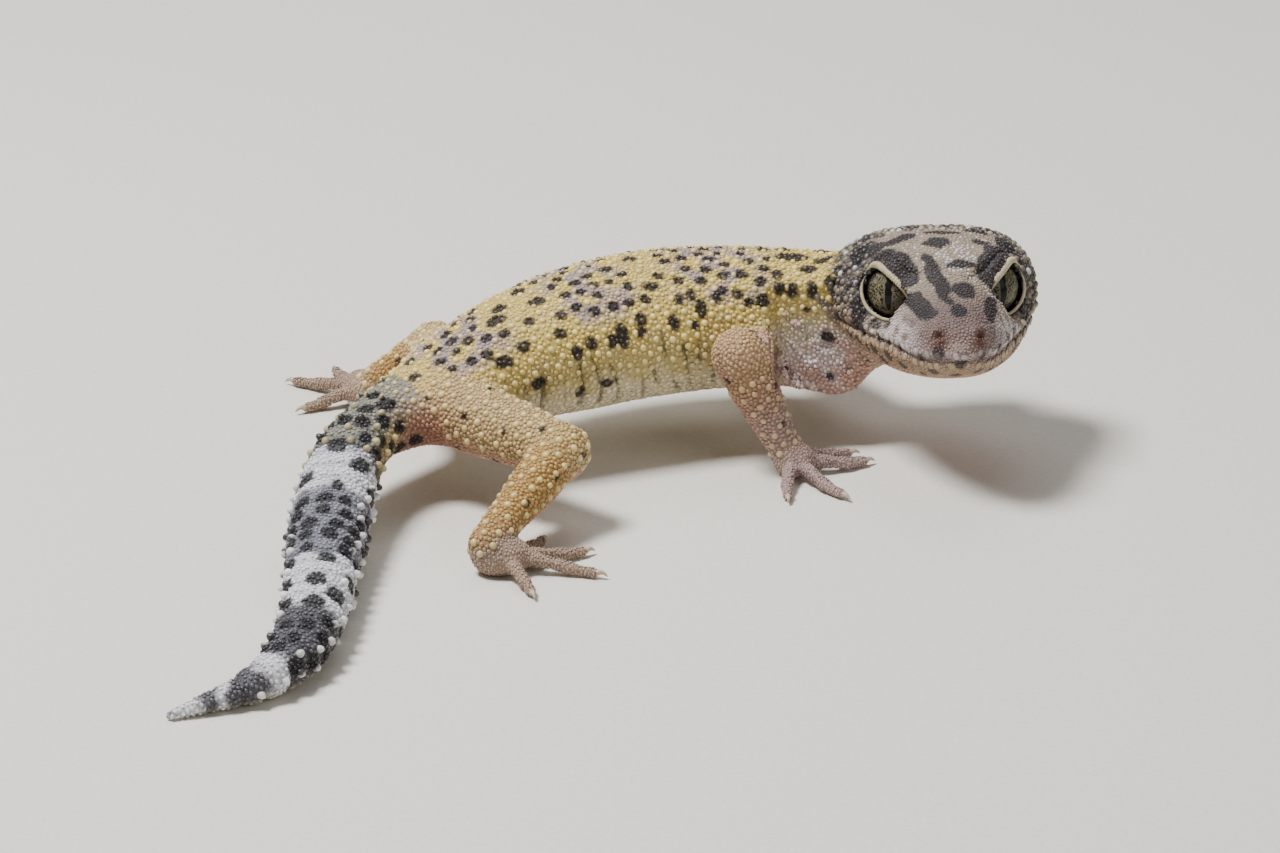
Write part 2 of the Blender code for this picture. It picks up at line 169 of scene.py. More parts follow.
# Lid openings, as angles round the eye from straight ahead and from level, in degrees.
# The upper edge is the flatter: half the opening's length, then its reach up and down.
LID_MIDDLE, LID_REACH, LID_TILT = (31.5, 7.6), (49.0, 26.5, 41.0), 38.0
LID_THICKNESS = 0.6
GAZE = {-1: (24.0, 12.0), 1: (22.0, 12.0)}


# ---- curves and places ---------------------------------------------------------------------


def follow(places, knots, values):
    """A smooth curve through the values at the knots, level wherever they turn back."""
    knots, values = np.asarray(knots, float), np.asarray(values, float)
    step = np.diff(knots)
    slope = np.diff(values) / step
    before, after = slope[:-1], slope[1:]
    same_way = before * after > 0
    mean = np.where(same_way, 2 * before * after / np.where(same_way, before + after, 1), 0)
    tangent = np.concatenate([slope[:1], mean, slope[-1:]])
    places = np.clip(places, knots[0], knots[-1])
    i = np.clip(np.searchsorted(knots, places, side="right") - 1, 0, len(step) - 1)
    t = (places - knots[i]) / step[i]
    start, end = (1 + 2 * t) * (1 - t) ** 2, t * t * (3 - 2 * t)
    lead, trail = t * (1 - t) ** 2 * step[i], t * t * (t - 1) * step[i]
    return start * values[i] + end * values[i + 1] + lead * tangent[i] + trail * tangent[i + 1]


def read(rows, places, *sizes):
    """The rows' sizes at the places, by smooth curves over the rows' first column."""
    knots = [row[0] for row in rows]
    return [follow(places, knots, [getattr(row, size) for row in rows]) for size in sizes]


def smooth(values, low, high):
    """Zero below low, one above high and an easy rise between them."""
    t = np.clip((values - low) / (high - low), 0, 1)
    return t * t * (3 - 2 * t)


def bump(values, middle, width):
    """A bell round the middle, down to 0.37 of its height a width away."""
    return np.exp(-(((values - middle) / width) ** 2))


def ripple(points, size, seed, waves=7):
    """Smooth chance from about -1 to 1: a sum of plane waves of that size in drawn directions."""
    draws = np.random.default_rng(seed)
    ways = draws.normal(size=(waves, 3))
    ways *= (tau / size * draws.uniform(0.7, 1.4, waves) / np.linalg.norm(ways, axis=1))[:, None]
    phases = draws.uniform(0, tau, waves)
    return np.sin(points @ ways.T + phases).sum(axis=-1) * (1.2 / waves**0.5)


def unit(vectors):
    """The vectors divided by their lengths."""
    return vectors / np.maximum(np.linalg.norm(vectors, axis=-1, keepdims=True), 1e-9)


def head_axes():
    """Forward, left and up of the head, as the columns of a matrix."""
    heading = Matrix.Rotation(radians(HEAD_HEADING), 3, "Z")
    return np.array(heading @ Matrix.Rotation(radians(-HEAD_PITCH), 3, "Y"))


HEAD_AXES = head_axes()


def in_head(points):
    """Points given forward, left and up in the head, turned into the animal's axes."""
    return np.asarray(points, float) @ HEAD_AXES.T + HEAD_PLACE


def from_head(points):
    """Points in the animal's axes, given forward, left and up in the head."""
    return (points - HEAD_PLACE) @ HEAD_AXES


def eye_middle(left):
    """The middle of the left eye, or of the right one when left is -1."""
    return in_head(np.array(EYE_PLACE) * (1, left, 1))


def row_shift():
    """From the animal's axes to the row's, in millimetres: the eyes' places in both."""
    found = [(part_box(f"eye_{word}")[0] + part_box(f"eye_{word}")[1]) / 2 / MM for word in ("left", "right")]
    shift = np.mean([np.array(f) - eye_middle(left) for f, left in zip(found, (1, -1))], axis=0)
    return np.array((shift[0], shift[1], 0.0))


ROW_SHIFT = row_shift()


def place_in_row(points):
    """Points in the animal's axes, in millimetres, moved into the frame, in metres."""
    return (np.asarray(points, float) + ROW_SHIFT) * MM


# ---- distances to the body's forms ---------------------------------------------------------

# How many points the spine's track has, and how many it is summed up from.
TRACK_COUNT, FINE_COUNT = 481, 1281
TRACK_PLACES = np.linspace(SPINE[0].place, SPINE[-1].place, TRACK_COUNT)
# Points worked on at once, to keep memory small.
AT_ONCE = 20000


def spine_track():
    """The spine seen from above: points along it and the way it heads, from its turning headings."""
    fine = np.linspace(SPINE[0].place, SPINE[-1].place, FINE_COUNT)
    turned = np.radians(read(SPINE, fine, "heading")[0])
    steps = np.stack([np.cos(turned), np.sin(turned)], 1) * (fine[1] - fine[0])
    track = np.concatenate([[(0, 0)], np.cumsum((steps[1:] + steps[:-1]) / 2, axis=0)])
    vent = [np.interp(0, fine, line) for line in track.T]
    flat = [np.interp(TRACK_PLACES, fine, track[:, i] - vent[i] + VENT[i]) for i in (0, 1)]
    turned = np.interp(TRACK_PLACES, fine, turned)
    return np.stack(flat, 1), np.stack([np.cos(turned), np.sin(turned)], 1)


TRACK, TRACK_WAY = spine_track()


def along_spine(flat):
    """For points seen from above: place on the spine, distance left of it, and past either end.
    The nearest track point is found among every eighth one, then among those next to it."""
    near = np.empty(len(flat), int)
    for some in np.array_split(np.arange(len(flat)), len(flat) // AT_ONCE + 1):
        gap = flat[some, None] - TRACK[None, ::8]
        first = np.einsum("ijk,ijk->ij", gap, gap).argmin(1) * 8
        window = np.clip(first[:, None] + np.arange(-10, 11), 0, len(TRACK) - 1)
        gap = flat[some, None] - TRACK[window]
        near[some] = window[np.arange(len(some)), np.einsum("ijk,ijk->ij", gap, gap).argmin(1)]
    step = flat - TRACK[near]
    way = TRACK_WAY[near]
    ahead = (step * way).sum(1)
    side = way[:, 0] * step[:, 1] - way[:, 1] * step[:, 0]
    half = (TRACK_PLACES[1] - TRACK_PLACES[0]) / 2
    end = (near == 0) | (near == len(TRACK) - 1)
    past = np.where(end, np.sign(ahead) * np.maximum(np.abs(ahead) - half, 0), 0)
    return TRACK_PLACES[near] + np.clip(ahead, -half, half), side, past


def spine_way(place):
    """The level way that the spine heads at places along it."""
    near = np.searchsorted(TRACK_PLACES, np.clip(place, *TRACK_PLACES[[0, -1]]))
    return np.column_stack([TRACK_WAY[near], np.zeros(len(place))])


def section_distance(out, up, past, side, rise, drop, fullness):
    """How far outside a rounded section a point is: its distance from the middle, less the
    section's own reach that way, where the section is a superellipse of that fullness."""
    tall = np.where(up > 0, rise, drop)
    share = sum(np.abs(part) ** fullness for part in (out / side, up / tall, past / side))
    share = np.maximum(share, 1e-4) ** (1 / fullness)
    reach = np.sqrt(out * out + up * up + past * past)
    return reach - reach / share


def whorl_edge(place):
    """How near an edge between two of the tail's rings a place lies, from 0 to 1: a narrow peak
    of the cosine once a ring, fading at the tail's root and tip."""
    return (0.5 + 0.5 * np.cos(tau * place / WHORL)) ** 5 * smooth(-place, 6, 10) * smooth(-place, 62, 57)


def flank_folds(points, place, up, rise, drop):
    """How deep in a crease a place lies, from 0 to 1: thin standing creases of the flanks."""
    lean = place + 0.25 * up + 0.5 * ripple(points, 9, 3)
    fold = (0.5 + 0.5 * np.cos(tau * lean / FLANK_FOLD)) ** 10 * smooth(place, 9, 13) * smooth(place, 42, 38)
    fold = fold * smooth(up / rise, 0.6, 0.1) * smooth(up / drop, -1.0, -0.5)
    return fold * smooth(ripple(points, 5, 13), -0.6, 0.4)


def body_distance(points):
    """Distance outside the trunk, neck and tail."""
    place, out, past = along_spine(points[:, :2])
    level, side, rise, drop = read(SPINE, place, "height", "side", "rise", "drop")
    up = points[:, 2] - level
    smoothed = section_distance(out, up, past, side, rise, drop, BODY_FULLNESS)
    fold = flank_folds(points, place, up, rise, drop)
    lean = place + 0.25 * up + 0.1 * out
    neck = (0.5 + 0.5 * np.cos(tau * lean / NECK_FOLD)) ** 6 * smooth(place, 44, 49) * smooth(up, 4, 1)
    return smoothed + 0.34 * whorl_edge(place) + 0.44 * fold + 0.28 * neck


def head_distance(points):
    """Distance outside the plain head: superellipses across it, narrower towards their tops."""
    forward, left, up = np.moveaxis(from_head(points), -1, 0)
    side, level, top, bottom, lean = read(HEAD, forward, *Section._fields[1:])
    past = forward - np.clip(forward, HEAD[0].forward, HEAD[-1].forward)
    high = np.clip((up - level) / (top - level), 0, 1)
    width = side * (1 - lean * high)
    return section_distance(left, up - level, past, width, top - level, level - bottom, HEAD_FULLNESS)


def limb_distance(points, start, end, radii):
    """Distance outside a round length between two joints whose radius follows the list."""
    start, end = np.array(start, float), np.array(end, float)
    along = end - start
    share = np.clip((points - start) @ along / (along @ along), 0, 1)
    radius = np.interp(share, np.linspace(0, 1, len(radii)), radii)
    return np.linalg.norm(points - start - share[..., None] * along, axis=-1) - radius


def toe_path(foot, toe):
    """Points down a toe's middle, from inside the foot to the claw, bending by its curl."""
    steps = np.linspace(0, 1, 7)
    heading = np.radians(toe.heading + toe.curl * (2 * steps - 1))
    way = np.array((cos(radians(toe.heading)), sin(radians(toe.heading))))
    stride = toe.reach / 6 * np.stack([np.cos(heading), np.sin(heading)], 1)[1:]
    root = np.array(foot.place[:2]) + way * 0.45 * foot.width
    flat = root + np.concatenate([[(0, 0)], np.cumsum(stride, axis=0)])
    height = foot.place[2] - 0.35 + (0.97 - foot.place[2]) * steps**1.6 + 0.16 * np.sin(tau * steps)
    return np.column_stack([flat, height]), heading[-1]


def toe_distance(points, foot, toe):
    """Distance outside a toe: round lengths joined end to end, thicker at its knuckles."""
    path, _ = toe_path(foot, toe)
    steps = np.linspace(0, 1, len(path))
    radii = np.interp(steps, np.linspace(0, 1, len(TOE_RADII)), TOE_RADII)
    radii = radii * (1 + 0.07 * np.cos(3 * tau * steps))
    nearest = np.full(points.shape[:-1], np.inf)
    for i in range(len(path) - 1):
        nearest = np.minimum(nearest, limb_distance(points, path[i], path[i + 1], radii[i : i + 2]))
    return nearest


def join(a, b, ease):
    """The nearer of two distances, eased into each other over that many millimetres."""
    h = np.clip(0.5 + 0.5 * (b - a) / ease, 0, 1)
    return b + (a - b) * h - ease * h * (1 - h)


def foot_distance(points, foot):
    """A palm or sole, half of an egg shape, with its toes let into it."""
    turn = radians(foot.heading)
    axes = np.array(((cos(turn), -sin(turn), 0), (sin(turn), cos(turn), 0), (0, 0, 1)))
    sizes = np.array((foot.length, foot.width, foot.place[2] + 0.35))
    local = (points - foot.place) @ axes / sizes
    share = np.maximum(np.linalg.norm(local, axis=-1), 1e-3)
    reach = np.linalg.norm(points - foot.place, axis=-1)
    nearest = reach - reach / share
    for toe in foot.toes:
        nearest = join(nearest, toe_distance(points, foot, toe), 0.5)
    return nearest


def eye_angles(points, left):
    """Distance from an eye's middle, and angles outward from ahead and up from level, in degrees."""
    local = from_head(points) - np.array(EYE_PLACE) * (1, left, 1)
    reach = np.maximum(np.linalg.norm(local, axis=-1), 1e-6)
    outward = np.degrees(np.arctan2(local[..., 1] * left, local[..., 0]))
    return reach, outward, np.degrees(np.arcsin(np.clip(local[..., 2] / reach, -1, 1)))


def lid_opening(outward, upward):
    """Below one inside the slanted opening between the lids, one on its rim: two half ovals on
    one long axis, the upper flatter than the lower."""
    turn = radians(LID_TILT)
    x, y = outward - LID_MIDDLE[0], upward - LID_MIDDLE[1]
    along, over = x * cos(turn) + y * sin(turn), y * cos(turn) - x * sin(turn)
    return np.hypot(along / LID_REACH[0], over / np.where(over > 0, *LID_REACH[1:]))


def past_lids(outward, upward):
    """Degrees outside the rim of the lid opening, along the line from its middle."""
    share = np.maximum(lid_opening(outward, upward), 0.05)
    return np.hypot(outward - LID_MIDDLE[0], upward - LID_MIDDLE[1]) * (1 - 1 / share)


def head_form(points):
    """The head with brows, snout furrow, nostril rims, ears and the eyes' sockets and openings."""
    local = from_head(points)
    forward, across, up = np.moveaxis(local, -1, 0)
    nearest = head_distance(points)
    nearest = nearest + 0.35 * bump(across, 0, 2.4) * bump(forward, 4.0, 4.5) * smooth(up, -2, 1)
    nearest = nearest + 0.25 * bump(np.abs(across), 3.6, 1.0) * bump(forward, 7.2, 1.6) * smooth(up, -3, 0)
    over_mouth = up - mouth_height(forward)
    lips = 0.42 * bump(over_mouth, 0, 0.26) - 0.14 * bump(over_mouth, 0.75, 0.45)
    lips = lips - 0.1 * bump(over_mouth, -0.7, 0.4)
    nearest = nearest + lips * smooth(forward, MOUTH_CORNER - 1, MOUTH_CORNER + 1.5)
    for left in (-1, 1):
        rim = np.linalg.norm(local - np.array(NOSTRIL) * (1, left, 1) + (0.35, 0, 0), axis=-1)
        nearest = join(nearest, rim - 1.0, 0.7)
        reach, outward, upward = eye_angles(points, left)
        lids = reach - EYE_RADIUS - LID_THICKNESS
        brow = np.linalg.norm((local - np.array(BROW) * (1, left, 1)) / BROW_SIZE, axis=-1) - BROW_RADIUS
        nearest = join(nearest, lids, 1.0)
        nearest = join(nearest, brow, 1.2)
        past = past_lids(outward, upward)
        close = smooth(reach, EYE_RADIUS + 4.5, EYE_RADIUS + 2.5)
        nearest = nearest + 0.42 * bump(past, 27, 4) * close * smooth(upward + 0.35 * outward, -25, 0)
        nearest = nearest + 0.25 * bump(past, 14, 2.6) * close * smooth(-upward, 0, 15)
    for left in (-1, 1):
        hole = local - np.array(NOSTRIL) * (1, left, 1) - (0.25, 0.3 * left, 0.1)
        hole = np.linalg.norm(hole, axis=-1) - 0.42
        nearest = np.maximum(nearest, -hole)
        ear = np.linalg.norm((local - np.array(EAR) * (1, left, 1)) / EAR_SIZE, axis=-1) - 1
        nearest = np.maximum(nearest, -ear)
        reach, outward, upward = eye_angles(points, left)
        opening = (lid_opening(outward, upward) - 1) * 2.4
        nearest = np.maximum(nearest, -np.maximum(opening, reach - EYE_RADIUS - 2.5))
        nearest = np.maximum(nearest, EYE_RADIUS + 0.06 - reach)
    return nearest


# How far the skin lies inside the field's forms, for the scales on it, and above the floor.
COAT_DEPTH, FLOOR = 0.16, 0.04


def limb_form(points, limb):
    """Distances outside a limb's upper length, its lower length and its foot."""
    upper = limb_distance(points, limb.root, limb.bend, limb.upper)
    lower = limb_distance(points, limb.bend, limb.end, limb.lower)
    return upper, lower, foot_distance(points, limb.foot)


def limb_joined(points, limb):
    """Distance outside a limb: its three distances eased together."""
    upper, lower, foot = limb_form(points, limb)
    return join(join(upper, lower, 1.1), foot, 0.9)


# ---- the skin's field and its surface ------------------------------------------------------

# Spaces between grid lines, across the head and elsewhere.
FINE, COARSE = 0.27, 0.42
# The part of the grid with fine spaces, from and to along each axis.
HEAD_BOX = ((20.5, 43.5), (-10.5, 14.5), (9.5, 26.0))
# How far the grid goes past the solids' box, and where it starts under the floor.
MARGIN, UNDER_FLOOR = 1.2, -0.9


def grid_axes():
    """Grid lines along x, y and z over the solids' box: close together across the head."""
    low, high = (np.array(corner) / MM - ROW_SHIFT for corner in CAD_BOX)
    lines = []
    for i in range(3):
        start, end = UNDER_FLOOR if i == 2 else low[i] - MARGIN, high[i] + MARGIN
        first, last = max(HEAD_BOX[i][0], start), min(HEAD_BOX[i][1], end)
        parts = [(start, first, COARSE), (first, last, FINE), (last, end, COARSE)]
        parts = [(a, b, int((b - a) / space) + 1) for a, b, space in parts if b - a > 0.01]
        lines.append(np.concatenate([*(np.linspace(*part, endpoint=False) for part in parts), [end]]))
    return lines


def skin_form(points):
    """The whole animal's distance: body, limbs where they reach and the head, eased together."""
    values = body_distance(points)
    for limb in LIMBS.values():
        ends = np.array([limb.root, limb.bend, limb.end, limb.foot.place])
        reach = max(toe.reach for toe in limb.foot.toes) + 3
        low = np.minimum(ends.min(0) - 6, np.array(limb.foot.place) - reach)
        high = np.maximum(ends.max(0) + 6, np.array(limb.foot.place) + (reach, reach, 0))
        here = ((points > low) & (points < high)).all(1)
        values[here] = join(values[here], limb_joined(points[here], limb), 1.8)
    here = np.linalg.norm(points - HEAD_PLACE, axis=1) < HEAD_REACH
    head = head_form(points[here])
    ahead = from_head(points[here])[:, 0]
    values[here] = np.where(ahead > NAPE, head, join(values[here], head, 3.2))
    return np.maximum(values + COAT_DEPTH, FLOOR - points[:, 2])


# Cells along a block's side, and how near the skin its middle is worked out cell by cell.
BLOCK, NEAR = 4, 2.4


@lru_cache(maxsize=1)
def skin_field():
    """Grid lines and the skin's distance field on them: negative inside the animal. Blocks of
    the grid whose middle is far from the skin keep the middle's value throughout."""
    axes = grid_axes()
    shape = [len(line) for line in axes]
    blocks = [np.arange(0, len(line), BLOCK) + BLOCK // 2 for line in axes]
    middles = [line[np.minimum(block, len(line) - 1)] for line, block in zip(axes, blocks)]
    rough = skin_form(np.stack(np.meshgrid(*middles, indexing="ij"), -1).reshape(-1, 3))
    values = rough.reshape([len(line) for line in middles])
    for i in range(3):
        values = np.repeat(values, BLOCK, axis=i)
    values = values[: shape[0], : shape[1], : shape[2]]
    near = np.nonzero(np.abs(values) < NEAR)
    points = np.stack([line[cells] for line, cells in zip(axes, near)], 1)
    groups = np.array_split(points, len(points) // (5 * AT_ONCE) + 1)
    values[near] = np.concatenate([skin_form(some) for some in groups])
    return axes, values


def grid_index(points):
    """Places of points among the grid's lines, counted in cells along each axis."""
    axes, _ = skin_field()
    return [np.interp(points[:, i], line, np.arange(len(line))) for i, line in enumerate(axes)]


def skin_distance(points):
    """The field at any points, read between the grid's eight nearest values."""
    axes, values = skin_field()
    spots = grid_index(points)
    first = [np.clip(s.astype(int), 0, len(line) - 2) for s, line in zip(spots, axes)]
    share = [s - f for s, f in zip(spots, first)]
    total = 0
    for corner in np.ndindex(2, 2, 2):
        weight = 1
        for i in range(3):
            weight = weight * (share[i] if corner[i] else 1 - share[i])
        total = total + weight * values[tuple(f + c for f, c in zip(first, corner))]
    return total


def skin_slope(points, step=0.3):
    """The field's rise for each millimetre along the three axes, as central differences."""
    shifts = np.eye(3) * step
    return np.stack([skin_distance(points + s) - skin_distance(points - s) for s in shifts], 1) / (2 * step)


def onto_skin(points, rounds=3):
    """Points moved down the field's slope until they lie on its zero level."""
    for _ in range(rounds):
        slope = skin_slope(points, 0.2)
        points = points - (skin_distance(points) / np.maximum((slope**2).sum(1), 0.2))[:, None] * slope
    return points


CORNERS = np.array(list(np.ndindex(2, 2, 2)))


def net_surface():
    """Points and four-sided faces of the field's zero level: one point in each grid cell that
    it crosses, at the mean of its crossings with the cell's edges, and a face round each
    crossed grid edge."""
    axes, values = skin_field()
    inside = values < 0
    cells = tuple(n - 1 for n in values.shape)
    count = np.zeros(cells, np.int8)
    for a, b, c in CORNERS:
        count += inside[a : a + cells[0], b : b + cells[1], c : c + cells[2]]
    mixed = np.stack(np.nonzero((count > 0) & (count < 8)), 1)
    numbers = np.full(cells, -1, np.int32)
    numbers[tuple(mixed.T)] = np.arange(len(mixed))
    corner_values = np.stack([values[tuple((mixed + c).T)] for c in CORNERS], 1)
    total, crossings = np.zeros((len(mixed), 3)), np.zeros(len(mixed))
    for axis in range(3):
        for start in range(8):
            if CORNERS[start][axis]:
                continue
            end = start + (4, 2, 1)[axis]
            a, b = corner_values[:, start], corner_values[:, end]
            crossed = (a < 0) != (b < 0)
            share = np.where(crossed, a / np.where(crossed, a - b, 1), 0)
            spot = CORNERS[start] + share[:, None] * (CORNERS[end] - CORNERS[start])
            total += np.where(crossed[:, None], spot, 0)
            crossings += crossed
    spots = mixed + total / crossings[:, None]
    points = [np.interp(spots[:, i], np.arange(len(line)), line) for i, line in enumerate(axes)]
    points = np.stack(points, 1)
    faces = []
    for axis in range(3):
        one, two = (axis + 1) % 3, (axis + 2) % 3
        low = np.moveaxis(inside, axis, 0)
        crossed = np.moveaxis(low[1:] != low[:-1], 0, axis)
        edges = np.stack(np.nonzero(crossed), 1)
        edges = edges[(edges[:, one] > 0) & (edges[:, two] > 0)]
        edges = edges[(edges[:, one] < cells[one]) & (edges[:, two] < cells[two])]
        steps = np.zeros((4, 3), int)
        steps[1, one] = steps[2, one] = steps[2, two] = steps[3, two] = -1
        face = np.stack([numbers[tuple((edges + s).T)] for s in steps], 1)
        outward = inside[tuple(edges.T)]
        faces.append(np.where(outward[:, None], face, face[:, ::-1]))
    faces = np.concatenate(faces)
    return points, faces[(faces >= 0).all(1)]


def eased(points, faces, rounds=3):
    """Each point drawn half way to the middle of its neighbours and back onto the skin."""
    ends = np.concatenate([faces[:, [i, (i + 1) % 4]] for i in range(4)])
    ends = np.concatenate([ends, ends[:, ::-1]])
    shared = np.bincount(ends[:, 0], minlength=len(points))
    for _ in range(rounds):
        sums = np.stack([np.bincount(ends[:, 0], points[ends[:, 1], i], len(points)) for i in range(3)], 1)
        points = points + 0.5 * (sums / np.maximum(shared, 1)[:, None] - points)
        points = onto_skin(points, 1)
    return points


@lru_cache(maxsize=1)
def skin_mesh():
    """The field's zero level as points and four-sided faces, eased and put back onto it."""
    points, faces = net_surface()
    return eased(points, faces, 2), faces


# ---- where on the animal a point lies ------------------------------------------------------

# Stands for a distance too great to matter.
FAR = 9.0
LIMB_NAMES = tuple(LIMBS)
LENGTHS = ("upper", "lower", "foot")


def part_weights(points):
    """Shares of body, head and each limb's upper, lower and foot lengths, largest where the
    point lies on that form and fading over half a millimetre."""
    distances = np.full((2 + 3 * len(LIMBS), len(points)), FAR)
    ahead = from_head(points)[:, 0]
    on_head = (np.linalg.norm(points - HEAD_PLACE, axis=1) < HEAD_REACH) & (ahead > NAPE)
    distances[0] = np.where(on_head, FAR, body_distance(points))
    distances[1] = np.where(ahead > HEAD[0].forward, head_distance(points), FAR)
    for i, limb in enumerate(LIMBS.values()):
        ends = np.array([limb.root, limb.bend, limb.end, limb.foot.place])
        here = ((points > ends.min(0) - 10) & (points < ends.max(0) + 10)).all(1)
        for j, found in enumerate(limb_form(points[here], limb)):
            distances[2 + 3 * i + j, here] = found
    share = np.exp(-(distances - distances.min(0)) / 0.5)
    share /= share.sum(0)
    lengths = {name: share[2 + j :: 3].sum(0) for j, name in enumerate(LENGTHS)}
    return {"body": share[0], "head": share[1], **lengths}, share[2:].reshape(len(LIMBS), 3, -1)


def spaced(points, gaps, draws):
    """Which of the points to keep so that none is nearer to another than its own gap, taken in
    a drawn order."""
    tree = KDTree(len(points))
    for i, point in enumerate(points):
        tree.insert(point, i)
    tree.balance()
    open_still = np.ones(len(points), bool)
    kept = []
    for i in draws.permutation(len(points)):
        if open_still[i]:
            kept.append(i)
            for _, other, _ in tree.find_range(points[i], gaps[i]):
                open_still[other] = False
    return np.array(kept)


def body_place(points):
    """Place along the spine and how high on the section, from -1 under it to 1 on top."""
    place, out, _ = along_spine(points[:, :2])
    level, rise, drop = read(SPINE, place, "height", "rise", "drop")
    up = points[:, 2] - level
    return place, np.clip(up / np.where(up > 0, rise, drop), -1, 1), out


# Clusters of dark spots on the back, as place along the spine and half length.
CLUSTERS = ((37.0, 4.9), (21.5, 4.0), (6.5, 3.4))
# Bolder spots of the right side: place, degrees down from the top, radius and stretch, where a
# stretch under 1 stands upright.
BOLD_SPOTS = (
    (45.4, 3, 1.10, 1.7), (49.0, 11, 0.90, 1.4), (43.9, 29, 0.66, 0.8), (44.2, 42, 0.72, 0.8),
    (45.8, 43, 0.66, 0.6), (48.0, 45, 0.66, 0.6), (42.0, 52, 0.85, 1.1), (42.4, 22, 0.6, 1.3),
    (40.1, 53, 0.6, 1.0), (38.8, 46, 0.66, 1.0), (36.4, 48, 0.6, 0.8), (37.2, 43, 0.6, 1.0),
    (32.8, 44, 0.6, 0.8), (34.0, 55, 0.72, 0.6), (33.0, 67, 0.5, 1.0), (31.2, 47, 0.66, 0.9),
    (30.1, 63, 0.6, 0.6), (29.7, 24, 0.6, 1.2), (25.6, 28, 0.6, 0.8), (25.7, 57, 0.66, 0.8),
    (25.2, 66, 0.6, 0.9), (22.8, 66, 0.86, 0.6), (21.5, 68, 0.66, 0.8), (18.8, 66, 0.7, 0.9),
    (15.6, 51, 0.62, 1.2), (17.0, 70, 0.62, 0.7), (11.5, 50, 0.74, 1.1), (10.6, 12, 0.85, 1.6),
    (13.4, 30, 0.6, 1.3), (12.2, 88, 0.7, 1.3), (44.6, 72, 0.6, 0.8), (46.2, 70, 0.6, 0.8),
    (49.4, 66, 0.75, 0.5), (17.5, 108, 0.6, 0.8), (20.6, 104, 0.6, 1.2),
)
# Tail bands from the root outwards, as the place each starts, its tone and its spots' gap.
TAIL_BANDS = (
    (0.0, "tail_grey", 1.95),
    (-11.8, "tail_dark", 5.0),
    (-13.2, "tail_white", 3.4),
    (-20.0, "tail_lilac", 1.95),
    (-33.0, "tail_white", 2.9),
    (-44.0, "tail_dark", 1.9),
    (-53.0, "tail_white", 9.0),
    (-55.5, "tail_dark", 9.0),
    (-58.8, "tail_white", 9.0),
    (-60.0, "tail_dark", 9.0),
    (-61.6, "tail_white", 9.0),
)


# Pale patches in front of the shoulders: middles, in millimetres.
SHOULDERS = ((19.0, 4.6, 10.2), (21.5, 22.6, 10.6))
# Bare reddish skin behind the roots of the hind legs: middles, in millimetres.
GROINS = ((-22.0, -8.5, 7.5), (-25.0, 4.5, 7.5))


def in_groin(points):
    """One in the middle of the bare skin behind a hind leg, fading to none round it."""
    return sum(bump(np.linalg.norm(points - np.array(middle), axis=1), 0, 3.6) for middle in GROINS)


def cluster(place, high, out):
    """How far into the lavender patches along the back a place lies."""
    inside = sum(bump(place + 0.06 * out, middle, half) for middle, half in CLUSTERS)
    return np.clip(inside * 1.6, 0, 1) * smooth(high, 0.5, 0.78)


def bold_spots():
    """Middles, radii, ways and stretches of the bolder spots, on the skin."""
    place, down, radius, stretch = np.array(BOLD_SPOTS).T
    level, side, rise = read(SPINE, place, "height", "side", "rise")
    along = spine_way(place)
    right = np.column_stack([along[:, 1], -along[:, 0]])
    down = np.radians(down)
    flat = TRACK[np.searchsorted(TRACK_PLACES, place)] + right * (side * np.sin(down))[:, None]
    middles = onto_skin(np.column_stack([flat, level + rise * np.cos(down)]))
    upright = unit(np.cross(along, unit(skin_slope(middles))))
    ways = np.where((stretch < 1)[:, None], upright, along)
    return middles, radius, ways, np.maximum(stretch, 1 / stretch)


@lru_cache(maxsize=1)
def spots():
    """Dark ovals on body, tail and head: middles, radii, stretch ways and stretches."""
    draws = np.random.default_rng(21)
    points, _ = skin_mesh()
    parts, _ = part_weights(points)
    place, high, out = body_place(points)
    gap = np.where(cluster(place, high, out) > 0.3, 1.72, np.where(high < 0.4, 3.6, 3.1))
    bold = bold_spots()
    apart = [np.linalg.norm(points - middle, axis=1) - radius for middle, radius in zip(*bold[:2])]
    on_body = parts["body"] > 0.7
    allowed = on_body & (high > -0.3) & (place > -1) & (np.min(apart, axis=0) > 1.3)
    allowed &= (out > 0) | (high > 0.74) | (place < 9) | (place > 50)
    tail = on_body & (place <= -1)
    for start, _, band_gap in TAIL_BANDS:
        gap = np.where(tail & (place < start), band_gap, gap)
    allowed |= tail & (high > -0.5) & (gap < 5) & (np.sin(tau * place / WHORL) > 0.6)
    forward, left, up = from_head(points).T
    side = (parts["head"] > 0.6) & ((np.abs(left) > 6.3) | (forward < -7))
    low = (parts["head"] > 0.6) & (up < -3.5) & (up > -7.4)
    gap = np.where(side, 1.5, np.where(low, 2.1, gap))
    limb = (parts["upper"] + parts["lower"] > 0.6) & (points[:, 2] > 6)
    gap = np.where(limb, 4.2, gap)
    where = np.nonzero(allowed | side | low | limb)[0]
    chosen = where[spaced(points[where], gap[where], draws)]
    radius = draws.uniform(0.58, 0.78, len(chosen)) * np.where(gap[chosen] > 2.5, 1.12, 0.93)
    radius = np.where(place[chosen] < -1, radius * 1.34, radius)
    radius = np.where(side[chosen] | low[chosen], draws.uniform(0.42, 0.68, len(chosen)), radius)
    radius = np.where(limb[chosen], draws.uniform(0.3, 0.5, len(chosen)), radius)
    ways = spine_way(place[chosen]) + 0.35 * draws.normal(size=(len(chosen), 3))
    ways = unit(ways + np.where(low[chosen], 5, 0)[:, None] * HEAD_AXES[:, 2])
    stretches = [draws.uniform(*ends, len(chosen)) for ends in ((1.0, 1.28), (1.1, 1.6))]
    stretch = np.where(gap[chosen] < 2.5, *stretches)
    drawn = (points[chosen], radius, ways, stretch)
    return [np.concatenate(both) for both in zip(bold, drawn)]


